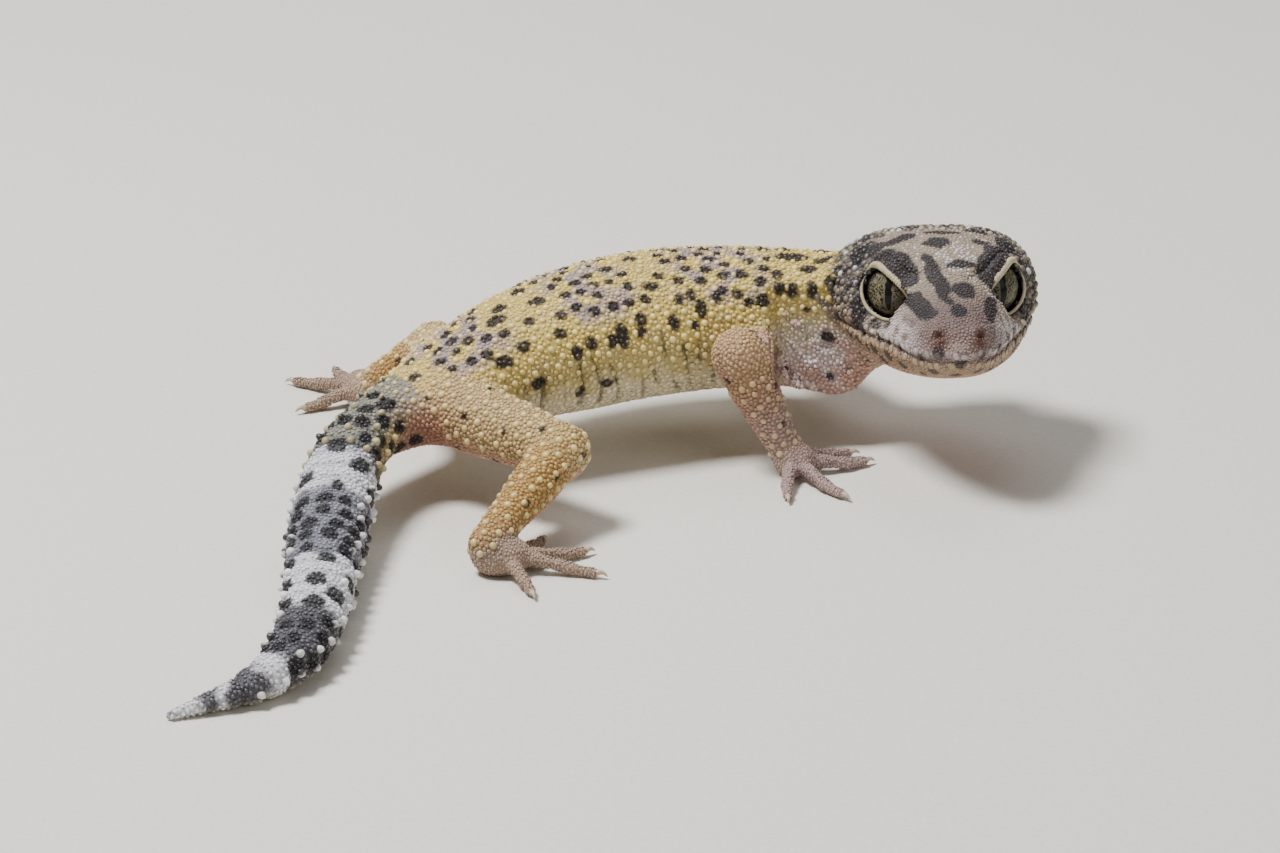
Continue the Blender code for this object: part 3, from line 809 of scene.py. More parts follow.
def in_reach(points, reach):
    """A function that finds, for a place, which of the points lie in a slab across x round it."""
    order = np.argsort(points[:, 0])
    sorted_x = points[order, 0]

    def slab(middle):
        """Numbers of the points whose x is within reach of the middle's."""
        ends = np.searchsorted(sorted_x, (middle[0] - reach, middle[0] + reach))
        return order[slice(*ends)]

    return slab


def in_spots(points):
    """Distance to the nearest spot as a share of its radius that way, roughened: the square of
    the distance, less a part of its square along the spot's long way."""
    nearest = np.full(len(points), FAR)
    slab = in_reach(points, 2.6)
    for middle, radius, way, stretch in zip(*spots()):
        here = slab(middle)
        step = points[here] - middle
        squared = (step * step).sum(1) - (1 - 1 / stretch**2) * (step @ way) ** 2
        nearest[here] = np.minimum(nearest[here], np.sqrt(squared) / radius)
    return nearest + 0.05 * ripple(points, 1.3, 5)


# Dark ovals on the top of the head: forward, left, half length, half width and turn.
HEAD_BLOTCHES = (
    (0.8, -4.8, 2.9, 1.25, 28), (0.9, 4.7, 3.2, 1.3, -22), (-1.9, -6.7, 1.4, 1.2, 0),
    (-1.6, 6.6, 1.5, 1.2, 0), (3.7, -1.3, 3.9, 0.86, 13), (5.4, 1.3, 1.25, 1.2, -15),
    (8.4, 0.2, 0.9, 0.9, 0), (1.7, 1.4, 0.6, 1.6, 10), (6.2, -3.5, 2.8, 0.8, 26),
    (6.7, 3.8, 2.2, 0.6, -15), (-2.4, -0.6, 1.2, 1.5, 0), (-3.0, 4.4, 0.9, 1.1, 0),
    (-4.6, -3.9, 0.8, 2.0, 20), (-4.4, -6.6, 1.0, 0.9, 0), (-5.2, 0.5, 0.55, 2.2, -4),
    (-6.2, 4.2, 0.8, 1.3, 0), (-4.9, 7.0, 1.3, 1.0, 0), (-5.4, -8.2, 1.2, 0.9, 0),
    (-8.3, -2.6, 0.8, 1.7, 8), (-8.2, 1.8, 0.7, 1.9, -4), (-8.0, 5.6, 0.9, 1.4, -15),
    (-8.4, -7.0, 0.9, 1.1, 20), (-11.0, -1.0, 0.7, 1.9, 0), (-10.9, 3.6, 0.7, 1.2, -10),
    (-10.8, -5.0, 0.8, 1.1, 10), (-1.6, -8.6, 1.6, 0.9, 0), (-1.2, 8.6, 1.6, 0.9, 0),
)


def in_blotches(points):
    """Nearness to the ovals on the head, one on an oval's edge and less inside it."""
    forward, left, up = from_head(points).T
    nearest = np.full(len(points), FAR)
    wobble = 0.22 * ripple(points, 1.5, 8)
    for ahead, aside, length, width, turned in HEAD_BLOTCHES:
        x, y, turn = forward - ahead, left - aside, radians(turned)
        along, across = x * cos(turn) + y * sin(turn), y * cos(turn) - x * sin(turn)
        nearest = np.minimum(nearest, np.hypot(along / length, across / width) + 0.6 * wobble)
    return np.where(up > -4.2, nearest, FAR)


def mouth_height(forward):
    """Height of the mouth's line in the head, straight between the points of its table."""
    return np.interp(forward, MOUTH_LINE[:, 0], MOUTH_LINE[:, 1])


def blend(below, above, amount):
    """Colours moved from the ones below towards the ones above by that share."""
    return below + (np.asarray(above) - below) * amount[:, None]


def layered(colour, tones, *layers):
    """Colours with tones laid over them in turn, each by its name and its share."""
    for name, share in layers:
        colour = blend(colour, tones[name], share)
    return colour


def marked(points, ground, tone, strength, on_head):
    """The ground colours with the dark spots and the head's blotches laid over them."""
    spot = smooth(in_spots(points), 1.14, 0.86) * strength
    blotch = smooth(in_blotches(points), 1.1, 0.92) * 0.93 * on_head
    return blend(ground, tone, np.maximum(spot, blotch))


def coat_colour(points, tones):
    """The coat's ground colour at points on the skin, the tone and strength of dark marks there,
    and where each point lies on the animal."""
    parts, limbs = part_weights(points)
    place, high, out = body_place(points)
    upper, lower, foot = parts["upper"], parts["lower"], parts["foot"]
    mottle = ripple(points, 3.0, 11)
    colour = layered(
        np.tile(tones["yellow"], (len(points), 1)), tones,
        ("cream", smooth(high + 0.12 * mottle, 0.55, 0.0)),
        ("belly", smooth(high + 0.1 * mottle, 0.0, -0.55)),
        ("lavender", cluster(place, high, out) * smooth(mottle, -0.9, 0.3) * 0.9),
        ("throat", smooth(place, 44, 50) * smooth(high, 0.1, -0.3)),
        ("vent", bump(place, -1.5, 4.2) * smooth(high, 0.4, -0.2)),
        *((name, smooth(-(place + 0.35 * mottle), -start - 0.4, -start + 0.4))
          for start, name, _ in TAIL_BANDS),
    )
    # Painted shade: darker in the grooves between the tail's rings.
    colour = colour * (1 - 0.4 * whorl_edge(place))[:, None]
    colour = layered(
        colour, tones,
        ("yellow", 0.55 * bump(place, -7, 5) * smooth(np.abs(high), 0.65, 0.2)),
        ("belly", smooth(-place, 0, 5) * smooth(high, -0.45, -0.8) * 0.6),
    )
    # Painted shade: darker deep in the creases of the flanks.
    level, rise, drop = read(SPINE, place, "height", "rise", "drop")
    folded = flank_folds(points, place, points[:, 2] - level, rise, drop)
    colour = colour * (1 - 0.78 * folded * (place > 8))[:, None]
    is_arm = limbs[:2].sum((0, 1))
    lengths = ((upper, "arm", "thigh"), (lower, "forearm", "shank"), (foot, "hand", "foot"))
    for length, arm, leg in lengths:
        arm_share, leg_share = smooth(is_arm, 0.2, 0.6), smooth(is_arm, 0.6, 0.2)
        colour = layered(colour, tones, (arm, length * arm_share), (leg, length * leg_share))
    chest = 0.6 * parts["body"] * smooth(place, 42, 47) * smooth(high, 0.6, 0.0)
    to_wrists = [np.linalg.norm(points - LIMBS[name].end, axis=1) for name in LIMB_NAMES[:2]]
    shoulders = [np.linalg.norm(points - np.array(middle), axis=1) for middle in SHOULDERS]
    underside = smooth(-skin_slope(points)[:, 2], 0.1, 0.7)
    colour = layered(
        colour, tones, ("belly", chest),
        *(("hand", 0.7 * lower * smooth(away, 8.5, 2.5)) for away in to_wrists),
        *(("lip", 0.8 * np.clip(bump(away + 0.5 * mottle, 0, 4.2) * 1.3, 0, 1)) for away in shoulders),
        ("throat", underside * (upper + lower) * 0.6),
        ("vent", 0.85 * np.clip(in_groin(points) * 1.3, 0, 1)),
    )
    colour = blend(colour, head_colour(points, tones), parts["head"])
    dark = layered(
        np.tile(tones["spot"], (len(points), 1)), tones,
        ("tail_spot", smooth(-place, 0, 4) * parts["body"]),
        ("blotch", parts["head"]),
    )
    strength = 0.95 - 0.2 * (parts["head"] + lower)
    for left in (-1, 1):
        reach, outward, upward = eye_angles(points, left)
        rim = smooth(reach, EYE_RADIUS + 1.3, EYE_RADIUS + 0.5)
        rim = rim * smooth(lid_opening(outward, upward), 1.24, 1.06)
        colour = blend(colour, tones["eye_rim"], rim)
    return np.clip(colour, 0, 1), (dark, strength, parts["head"]), parts, (place, out)


def head_colour(points, tones):
    """The head's ground colour: tones over temples, snout, lips, cheeks, chin and nostrils."""
    local = from_head(points)
    forward, left, up = local.T
    over_mouth = up - mouth_height(forward)
    plates = bump(forward, 5.6, 3.4) * smooth(np.abs(left), 2.6, 4.0) * bump(over_mouth, 1.6, 1.5)
    pits = [(local - np.array(NOSTRIL) * (1, side, 1) + (0, 0, 0.5)) / (1, 0.8, 1.5) for side in (-1, 1)]
    return layered(
        np.tile(tones["head"], (len(points), 1)), tones,
        ("temple", smooth(np.abs(left) - 0.15 * forward, 6.8, 8.5) * smooth(up, -4, -1) * 0.8),
        ("temple", smooth(-forward, 7, 10) * smooth(up, -3, 0) * 0.45),
        ("snout", smooth(forward, 3.5, 8.5)),
        ("lip", plates * smooth(ripple(points, 1.6, 17), -1.3, -0.1)),
        ("lip", smooth(forward, 2.0, 5.0) * bump(over_mouth, 0.55, 0.6) * 0.5),
        ("nose", bump(forward, 11, 1.6) * bump(over_mouth, 1.6, 1.4) * 0.8),
        ("cheek", smooth(forward, 1, -3) * smooth(over_mouth, 2.4, -0.5) * 0.75),
        ("chin", smooth(-over_mouth, 0.0, 0.8) * smooth(forward, -11, -2)),
        ("throat", smooth(-up, 6.0, 8.2)),
        ("nostril", sum(bump(np.linalg.norm(pit, axis=1), 0, 0.8) for pit in pits)),
    )


# ---- meshes and materials ------------------------------------------------------------------


def new_piece(name, points, corners, sizes, material, slot, colours=None, uvs=None):
    """A mesh object from points in the animal's axes and faces as one run of corner numbers."""
    mesh = bpy.data.meshes.new(name)
    mesh.vertices.add(len(points))
    mesh.vertices.foreach_set("co", place_in_row(points).astype(np.float32).ravel())
    mesh.loops.add(len(corners))
    mesh.loops.foreach_set("vertex_index", np.asarray(corners, np.int32))
    sizes = np.asarray(sizes, np.int32)
    mesh.polygons.add(len(sizes))
    starts = np.concatenate([[0], np.cumsum(sizes)[:-1]]).astype(np.int32)
    mesh.polygons.foreach_set("loop_start", starts)
    mesh.update(calc_edges=True)
    mesh.shade_smooth()
    if colours is not None:
        layer = mesh.color_attributes.new("coat", "FLOAT_COLOR", "POINT")
        opaque = np.column_stack([colours, np.ones(len(colours))]).astype(np.float32)
        layer.data.foreach_set("color", opaque.ravel())
    if uvs is not None:
        layer = mesh.uv_layers.new(name="OFBake")
        layer.uv.foreach_set("vector", np.asarray(uvs, np.float32)[corners].ravel())
    mesh.materials.append(material)
    piece = bpy.data.objects.new(name, mesh)
    bpy.context.scene.collection.objects.link(piece)
    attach(piece, BODY)
    return piece


def add_node(tree, kind, inputs=(), **settings):
    """A node of that kind with its settings made and its inputs set or linked by name or number."""
    made = tree.nodes.new(kind)
    for key, value in settings.items():
        setattr(made, key, value)
    for key, value in dict(inputs).items():
        if isinstance(value, bpy.types.NodeSocket):
            tree.links.new(value, made.inputs[key])
        else:
            made.inputs[key].default_value = value
    return made


# The colour sockets of a Mix node, which share their names with those for other kinds.
COLOUR_A, COLOUR_B, COLOUR_OUT = 6, 7, 2


def new_material(name):
    """A material with its node tree and its shader."""
    material = bpy.data.materials.new(name)
    material.use_nodes = True
    tree = material.node_tree
    return material, tree, tree.nodes["Principled BSDF"]


def shared_group(name, fill, sockets):
    """The node group of that name, filled by the function the first time it is asked for."""
    group = bpy.data.node_groups.get(name)
    if group is None:
        group = bpy.data.node_groups.new(name, "ShaderNodeTree")
        for label, way, kind in sockets:
            group.interface.new_socket(label, in_out=way, socket_type=kind)
        fill(group, group.nodes.new("NodeGroupInput"), group.nodes.new("NodeGroupOutput"))
    return group


def fill_grain(tree, entry, leave):
    """Noise at the given size, as a shade to multiply a colour by and as a height."""
    where = add_node(tree, "ShaderNodeTexCoord").outputs["Object"]
    noise = add_node(
        tree, "ShaderNodeTexNoise", {"Vector": where, "Scale": entry.outputs["Scale"], "Detail": 3.0}
    )
    shade = add_node(tree, "ShaderNodeMapRange", {
        "Value": noise.outputs["Fac"], "From Min": 0.3, "From Max": 0.7,
        "To Min": entry.outputs["Low"], "To Max": entry.outputs["High"],
    })
    tree.links.new(shade.outputs["Result"], leave.inputs["Shade"])
    tree.links.new(noise.outputs["Fac"], leave.inputs["Height"])


GRAIN_SOCKETS = (
    ("Scale", "INPUT", "NodeSocketFloat"),
    ("Low", "INPUT", "NodeSocketFloat"),
    ("High", "INPUT", "NodeSocketFloat"),
    ("Shade", "OUTPUT", "NodeSocketFloat"),
    ("Height", "OUTPUT", "NodeSocketFloat"),
)


def grain(tree, scale, low, high):
    """A node of the shared grain at that scale, shading from low to high."""
    group = shared_group("Gecko grain", fill_grain, GRAIN_SOCKETS)
    return add_node(tree, "ShaderNodeGroup", {"Scale": scale, "Low": low, "High": high}, node_tree=group)


def shaded(tree, colour, shade):
    """The colour, given as one or as a socket, multiplied by the shade."""
    inputs = {"Factor": 1.0, COLOUR_A: colour, COLOUR_B: shade}
    made = add_node(tree, "ShaderNodeMix", inputs, data_type="RGBA", blend_type="MULTIPLY")
    return made.outputs[COLOUR_OUT]


def coat_material(name, roughness, gloss):
    """Colour from the mesh, varied a little by fine noise that also roughens the surface."""
    material, tree, shader = new_material(name)
    colour = add_node(tree, "ShaderNodeAttribute", attribute_name="coat").outputs["Color"]
    fine = grain(tree, 2600.0, 0.86, 1.1)
    height = {"Strength": 0.25, "Distance": 0.08 * MM, "Height": fine.outputs["Height"]}
    bumped = add_node(tree, "ShaderNodeBump", height)
    tree.links.new(shaded(tree, colour, fine.outputs["Shade"]), shader.inputs["Base Color"])
    tree.links.new(bumped.outputs["Normal"], shader.inputs["Normal"])
    shader.inputs["Roughness"].default_value = roughness
    shader.inputs["Specular IOR Level"].default_value = gloss
    return material


def plain_material(name, colour, roughness, low=0.85):
    """One colour, shaded by the grain from low to a little over one."""
    material, tree, shader = new_material(name)
    shade = grain(tree, 1800.0, low, 1.08).outputs["Shade"]
    tree.links.new(shaded(tree, (*colour, 1), shade), shader.inputs["Base Color"])
    shader.inputs["Roughness"].default_value = roughness
    return material


def eye_material(look):
    """Olive iris veined with dark, a standing slit with pale edges, a dark rim, under a clear
    coat. The mesh's 'look' attribute gives places across the iris in iris radii."""
    material, tree, shader = new_material("eye")
    place = add_node(tree, "ShaderNodeAttribute", attribute_name="look").outputs["Vector"]
    apart = add_node(tree, "ShaderNodeSeparateXYZ", {"Vector": place}).outputs
    veins = {"Vector": place, "Scale": 5.5, "Detail": 3.0, "Roughness": 0.7, "Distortion": 1.7}
    veins = add_node(tree, "ShaderNodeTexNoise", veins)
    wave = add_node(tree, "ShaderNodeTexNoise", {"Vector": place, "Scale": 2.6, "Detail": 1.0})
    ramp = add_node(tree, "ShaderNodeValToRGB", {"Fac": veins.outputs["Fac"]})
    for element, at, vein in zip(ramp.color_ramp.elements, (0.44, 0.56), (look.iris_dark, look.iris)):
        element.position, element.color = at, (*vein, 1)

    def maths(operation, *values):
        """One sum of the values."""
        return add_node(tree, "ShaderNodeMath", dict(enumerate(values)), operation=operation).outputs[0]

    def ranged(value, low, high):
        """Zero below low, one above high and an easy rise between them."""
        inputs = {"Value": value, "From Min": low, "From Max": high}
        made = add_node(tree, "ShaderNodeMapRange", inputs, interpolation_type="SMOOTHSTEP")
        return made.outputs["Result"]

    def mixed(amount, below, above):
        """The colour below moved towards the one above by that amount."""
        inputs = {"Factor": amount, COLOUR_A: below, COLOUR_B: (*above, 1)}
        return add_node(tree, "ShaderNodeMix", inputs, data_type="RGBA").outputs[COLOUR_OUT]

    def squared(value):
        """A value times itself."""
        return maths("MULTIPLY", value, value)

    tall = maths("DIVIDE", apart["Y"], look.slit_height)
    room = maths("SQRT", maths("MAXIMUM", maths("SUBTRACT", 1.0, squared(tall)), 0.0))
    half = maths("MULTIPLY", room, maths("MULTIPLY", wave.outputs["Fac"], 2 * look.slit_width))
    from_slit = maths("SUBTRACT", half, maths("ABSOLUTE", apart["X"]))
    out = maths("SQRT", maths("ADD", squared(apart["X"]), squared(apart["Y"])))
    colour = mixed(ranged(from_slit, -0.13, -0.02), ramp.outputs["Color"], look.iris_pale)
    colour = mixed(ranged(out, 0.92, 1.12), colour, look.iris_rim)
    colour = mixed(ranged(from_slit, -0.015, 0.015), colour, (0.004, 0.004, 0.003))
    tree.links.new(colour, shader.inputs["Base Color"])
    shader.inputs["Roughness"].default_value = 0.5
    shader.inputs["Specular IOR Level"].default_value = 0.1
    shader.inputs["Coat Weight"].default_value = 0.2
    shader.inputs["Coat Roughness"].default_value = 0.03
    return material


# ---- shapes --------------------------------------------------------------------------------


def grid_faces(rows, columns, closed=True):
    """Four-sided faces of a grid of points, row by row, joined round when closed."""
    row, column = np.meshgrid(
        np.arange(rows - 1), np.arange(columns if closed else columns - 1), indexing="ij"
    )
    beside = (column + 1) % columns
    return np.stack([row * columns + column, row * columns + beside, (row + 1) * columns + beside,
                     (row + 1) * columns + column], -1).reshape(-1, 4)


def capped(rows, columns):
    """Corner numbers and sizes of a closed grid with a face over its first and last rows."""
    sides = grid_faces(rows, columns)
    corners = np.concatenate(
        [sides.ravel(), np.arange(columns)[::-1], (rows - 1) * columns + np.arange(columns)]
    )
    return corners, np.concatenate([np.full(len(sides), 4), (columns, columns)])


def dome(sides, rings):
    """A closed cap round the upright: rings given as radius and height, an apex, a face under.
    Returns its points, corner numbers and face sizes."""
    turn = np.arange(sides) * tau / sides
    points = [np.column_stack([r * np.cos(turn), r * np.sin(turn), np.full(sides, h)]) for r, h in rings]
    points = np.concatenate([*points, [(0, 0, 1.0)]])
    walls = grid_faces(len(rings), sides)
    last = (len(rings) - 1) * sides + np.arange(sides)
    caps = np.column_stack([last, np.roll(last, -1), np.full(sides, len(points) - 1)])
    corners = np.concatenate([walls.ravel(), caps.ravel(), np.arange(sides)[::-1]])
    return points, corners, np.concatenate([np.full(len(walls), 4), np.full(sides, 3), [sides]])


def tube(path, radii, sides, flat=1.0, up=(0, 0, 1)):
    """Points of a round tube along a path: at each place a ring of the radius there, square to
    the path and flattened one way."""
    way = unit(np.gradient(path, axis=0))
    side = unit(np.cross(way, up))
    over = np.cross(side, way)
    turn = np.arange(sides) * tau / sides
    ring = np.cos(turn)[None, :, None] * side[:, None] + flat * np.sin(turn)[None, :, None] * over[:, None]
    return (path[:, None] + ring * np.asarray(radii)[:, None, None]).reshape(-1, 3)


def eye_shape(left, look):
    """An eyeball in polar rings round its gaze, with a low bulge in front. Returns points,
    corners, sizes and each point's place across the iris."""
    outward, upward = (radians(a) for a in GAZE[left])
    gaze = HEAD_AXES @ (cos(upward) * cos(outward), left * cos(upward) * sin(outward), sin(upward))
    across = unit(np.cross(gaze, HEAD_AXES[:, 2]))
    above = np.cross(across, gaze)
    rows, columns = 72, 96
    polar = pi * (np.linspace(0.004, 0.996, rows))[:, None, None]
    turn = (np.arange(columns) * tau / columns)[None, :, None]
    way = np.cos(polar) * gaze + np.sin(polar) * (np.cos(turn) * across + np.sin(turn) * above)
    radius = EYE_RADIUS + look.cornea / MM * np.exp(-((polar / radians(34)) ** 4))
    points = (eye_middle(left) + radius * way).reshape(-1, 3)
    step = (points - eye_middle(left)) / (look.iris_radius / MM)
    places = np.column_stack([step @ across, step @ above, step @ gaze])
    corners, sizes = capped(rows, columns)
    return points, corners, sizes, places


def lid_path(left, start, end, count, reach, beyond):
    """Places along the rim of a lid opening between two angles round its slanted oval, that
    much beyond it."""
    t = np.radians(np.linspace(start, end, count))
    turn = radians(LID_TILT)
    x = beyond * LID_REACH[0] * np.cos(t)
    y = beyond * np.sin(t) * np.where(np.sin(t) > 0, *LID_REACH[1:])
    outward = np.radians(LID_MIDDLE[0] + x * cos(turn) - y * sin(turn))
    upward = np.radians(LID_MIDDLE[1] + x * sin(turn) + y * cos(turn))
    forward, across = np.cos(upward) * np.cos(outward), left * np.cos(upward) * np.sin(outward)
    way = np.column_stack([forward, across, np.sin(upward)])
    return eye_middle(left) + reach * way @ HEAD_AXES.T


# ---- settings ------------------------------------------------------------------------------


def tone(code):
    """A colour's linear red, green and blue from its usual six digits."""
    shares = np.array([int(code[i : i + 2], 16) / 255 for i in (0, 2, 4)])
    return tuple(
        float(c) for c in np.where(shares > 0.04045, ((shares + 0.055) / 1.055) ** 2.4, shares / 12.92)
    )


def colour_property(name, code, description):
    """A property holding a colour, whose default is given by six digits."""
    return FloatVectorProperty(
        name=name, subtype="COLOR", size=3, min=0, max=1, default=tone(code), description=description,
    )


def length_property(name, millimetres, description):
    """A property holding a length, whose default is given in millimetres."""
    return FloatProperty(name=name, default=millimetres * MM, unit="LENGTH", description=description)


# Tones of the coat: key, label, usual six digits and what it colours.
TONES = (
    ("yellow", "Back", "dcc16a", "Ground of the back"),
    ("cream", "Flank", "cfba7a", "Ground of the flanks"),
    ("belly", "Belly", "e0d2ae", "Scales of the belly"),
    ("lavender", "Lavender", "a8949a", "Patches under the clusters of spots"),
    ("spot", "Spots", "1d1218", "Spots of the back and flanks"),
    ("throat", "Throat", "cd9a86", "Throat, chest and the undersides of the limbs"),
    ("vent", "Vent", "ae7a66", "Round the vent"),
    ("head", "Head", "a29181", "Ground of the head"),
    ("blotch", "Head blotches", "272127", "Dark markings of the head"),
    ("temple", "Temples", "4e484d", "Behind the eyes and the nape"),
    ("snout", "Snout", "7b6763", "Top and sides of the snout"),
    ("nose", "Nose", "9c827a", "Round the tip of the snout"),
    ("nostril", "Nostrils", "5c2a1e", "Rims and pits of the nostrils"),
    ("lip", "Lips", "d8cbcb", "Plates of the upper lip"),
    ("cheek", "Cheeks", "927a69", "Below and behind the eyes"),
    ("chin", "Chin", "b0957a", "Lower jaw"),
    ("eye_rim", "Eye rim", "120d0b", "Inner edges of the lids"),
    ("arm", "Upper arm", "c39a84", "Upper arms"),
    ("forearm", "Forearm", "a67f60", "Forearms"),
    ("hand", "Hand", "ab918c", "Hands and their toes"),
    ("thigh", "Thigh", "c2a474", "Thighs"),
    ("shank", "Shank", "b28a4e", "Shanks"),
    ("foot", "Foot", "a98f7c", "Feet and their toes"),
    ("tail_grey", "Tail root", "8d8b80", "Root of the tail"),
    ("tail_white", "Tail white", "e2e2e8", "Pale bands of the tail"),
    ("tail_lilac", "Tail lilac", "85848f", "Grey bands of the tail"),
    ("tail_dark", "Tail dark", "5a585e", "Dark bands of the tail"),
    ("tail_spot", "Tail spots", "17141a", "Spots of the tail"),
    ("tubercle", "Tubercles", "f0dd96", "Raised round scales"),
    ("fringe", "Lid fringe", "c6b896", "Comb of the upper lids"),
)


class GeckoTones(bpy.types.PropertyGroup):
    """Tones of the coat"""

    __annotations__ = {key: colour_property(*row) for key, *row in TONES}


class GeckoCoat(bpy.types.PropertyGroup):
    """Gaps between scales, their heights and their seed"""

    back: length_property("Back gap", 0.42, "Between granules of the back")
    head: length_property("Head gap", 0.34, "Between granules of the head")
    snout: length_property("Snout gap", 0.28, "Between granules of the snout")
    toes: length_property("Toe gap", 0.29, "Between granules of the toes")
    belly: length_property("Belly gap", 0.56, "Between belly scales")
    tubercles: length_property("Tubercle gap", 1.04, "Between tubercles")
    height: length_property("Height", 0.15, "Granule height")
    tubercle_height: length_property("Tubercle height", 0.30, "Of tubercles")
    seed: IntProperty(name="Seed", default=4, description="Draws the places of the scales")


class GeckoEyes(bpy.types.PropertyGroup):
    """Tones and sizes of the eyes"""

    iris: colour_property("Iris", "7c7560", "Pale part of the iris")
    iris_dark: colour_property("Iris veins", "1c180e", "Dark veins of the iris")
    iris_pale: colour_property("Slit edge", "5f5a47", "Edges of the slit")
    iris_rim: colour_property("Iris rim", "14100c", "Outside the iris")
    iris_radius: length_property("Iris radius", 2.35, "Of the iris")
    cornea: length_property("Cornea", 0.14, "How far the front bulges")
    slit_height: FloatProperty(
        name="Slit height", default=0.88, description="Half height of the slit, in iris radii"
    )
    slit_width: FloatProperty(
        name="Slit width", default=0.16, description="Half width of the slit, in iris radii"
    )


class GeckoStage(bpy.types.PropertyGroup):
    """Camera, lights and floor"""

    distance: FloatProperty(name="Camera distance", default=0.6, unit="LENGTH", description="From the middle")
    elevation: FloatProperty(
        name="Elevation", default=radians(22), subtype="ANGLE", description="Above level"
    )
    lens: FloatProperty(name="Lens", default=156.9, description="Focal length in millimetres")
    key: FloatProperty(name="Key light", default=6.5, description="Watts of the key light")
    fill: FloatProperty(name="Fill light", default=1.2, description="Watts of the fill light")
    sky: FloatProperty(name="Sky", default=0.17, description="Strength of the surrounding light")
    floor: colour_property("Floor", "d8d4cc", "Plain floor")


# ---- pieces --------------------------------------------------------------------------------


def palette(scene):
    """The tones of the panel by name, as arrays of red, green and blue."""
    names = GeckoTones.__annotations__
    return {name: np.array(getattr(scene.gecko_tones, name)) for name in names}


FLESH = ("head", "lower_jaw", "neck", "trunk", "tail_base", "tail_middle", "tail_tip") + tuple(
    f"{side}_{length}" for side in ("left", "right")
    for length in ("upper_arm", "forearm", "hand", "thigh", "shank", "foot"))


# Painted shade: the skin's colours are darker than the scales', as it shows only in the creases between them.
SKIN_PAINTED_SHADE = 0.72


class GECKO_OT_skin(bpy.types.Operator):
    """One skin over the whole animal in place of its solids"""

    bl_idname = "gecko.skin"
    bl_label = "Skin"

    def execute(self, context):
        points, faces = skin_mesh()
        colours, marks, _, _ = coat_colour(points, palette(context.scene))
        # Painted shade of the creases between the scales darkens the skin's colours.
        colours = marked(points, colours, *marks) * SKIN_PAINTED_SHADE
        material = coat_material("skin", 0.62, 0.3)
        sizes = np.full(len(faces), 4)
        skin = new_piece("skin", points, faces.ravel(), sizes, material, "body_skin", colours)
        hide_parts(*FLESH)
        return {"FINISHED"}


# Places drawn over the skin, from which the roots of scales are kept.
CANDIDATES = 400000
# Least distances between granules of the limbs and the chest, and between raised scales by region.
LIMB_GAP, CHEST_GAP = 0.38, 0.36
RAISED_GAPS = {"leg": 1.25, "limb": 1.12, "lip": 0.78, "temple": 0.80, "cone": 1.7}
# Radii of raised scales by region, and a granule's radius as a share of its gap: most regions',
# then that of limbs and chest.
RAISED_SIZES = {"leg": 0.43, "limb": 0.42, "lip": 0.42, "temple": 0.39, "cone": 0.56, "back": 0.39}
GRANULE_SHARE, LIMB_SHARE = 0.60, 0.70


def scale_roots(coat):
    """Candidate places of scales, drawn over the skin's faces by area, clear of the floor and of
    the openings between the lids."""
    draws = np.random.default_rng(coat.seed)
    points, faces = skin_mesh()
    corners = points[faces]
    area = np.linalg.norm(np.cross(corners[:, 2] - corners[:, 0], corners[:, 3] - corners[:, 1]), axis=1) / 2
    chosen = draws.choice(len(faces), CANDIDATES, p=area / area.sum())
    a, b = draws.uniform(size=(2, len(chosen), 1))
    c = corners[chosen]
    placed = (c[:, 0] * (1 - a) + c[:, 1] * a) * (1 - b) + (c[:, 3] * (1 - a) + c[:, 2] * a) * b
    placed = onto_skin(placed, 1)
    clear = placed[:, 2] > 0.25
    for left in (-1, 1):
        reach, outward, upward = eye_angles(placed, left)
        clear &= ~((reach < EYE_RADIUS + 1.0) & (lid_opening(outward, upward) < 1.16))
    return placed[clear], draws


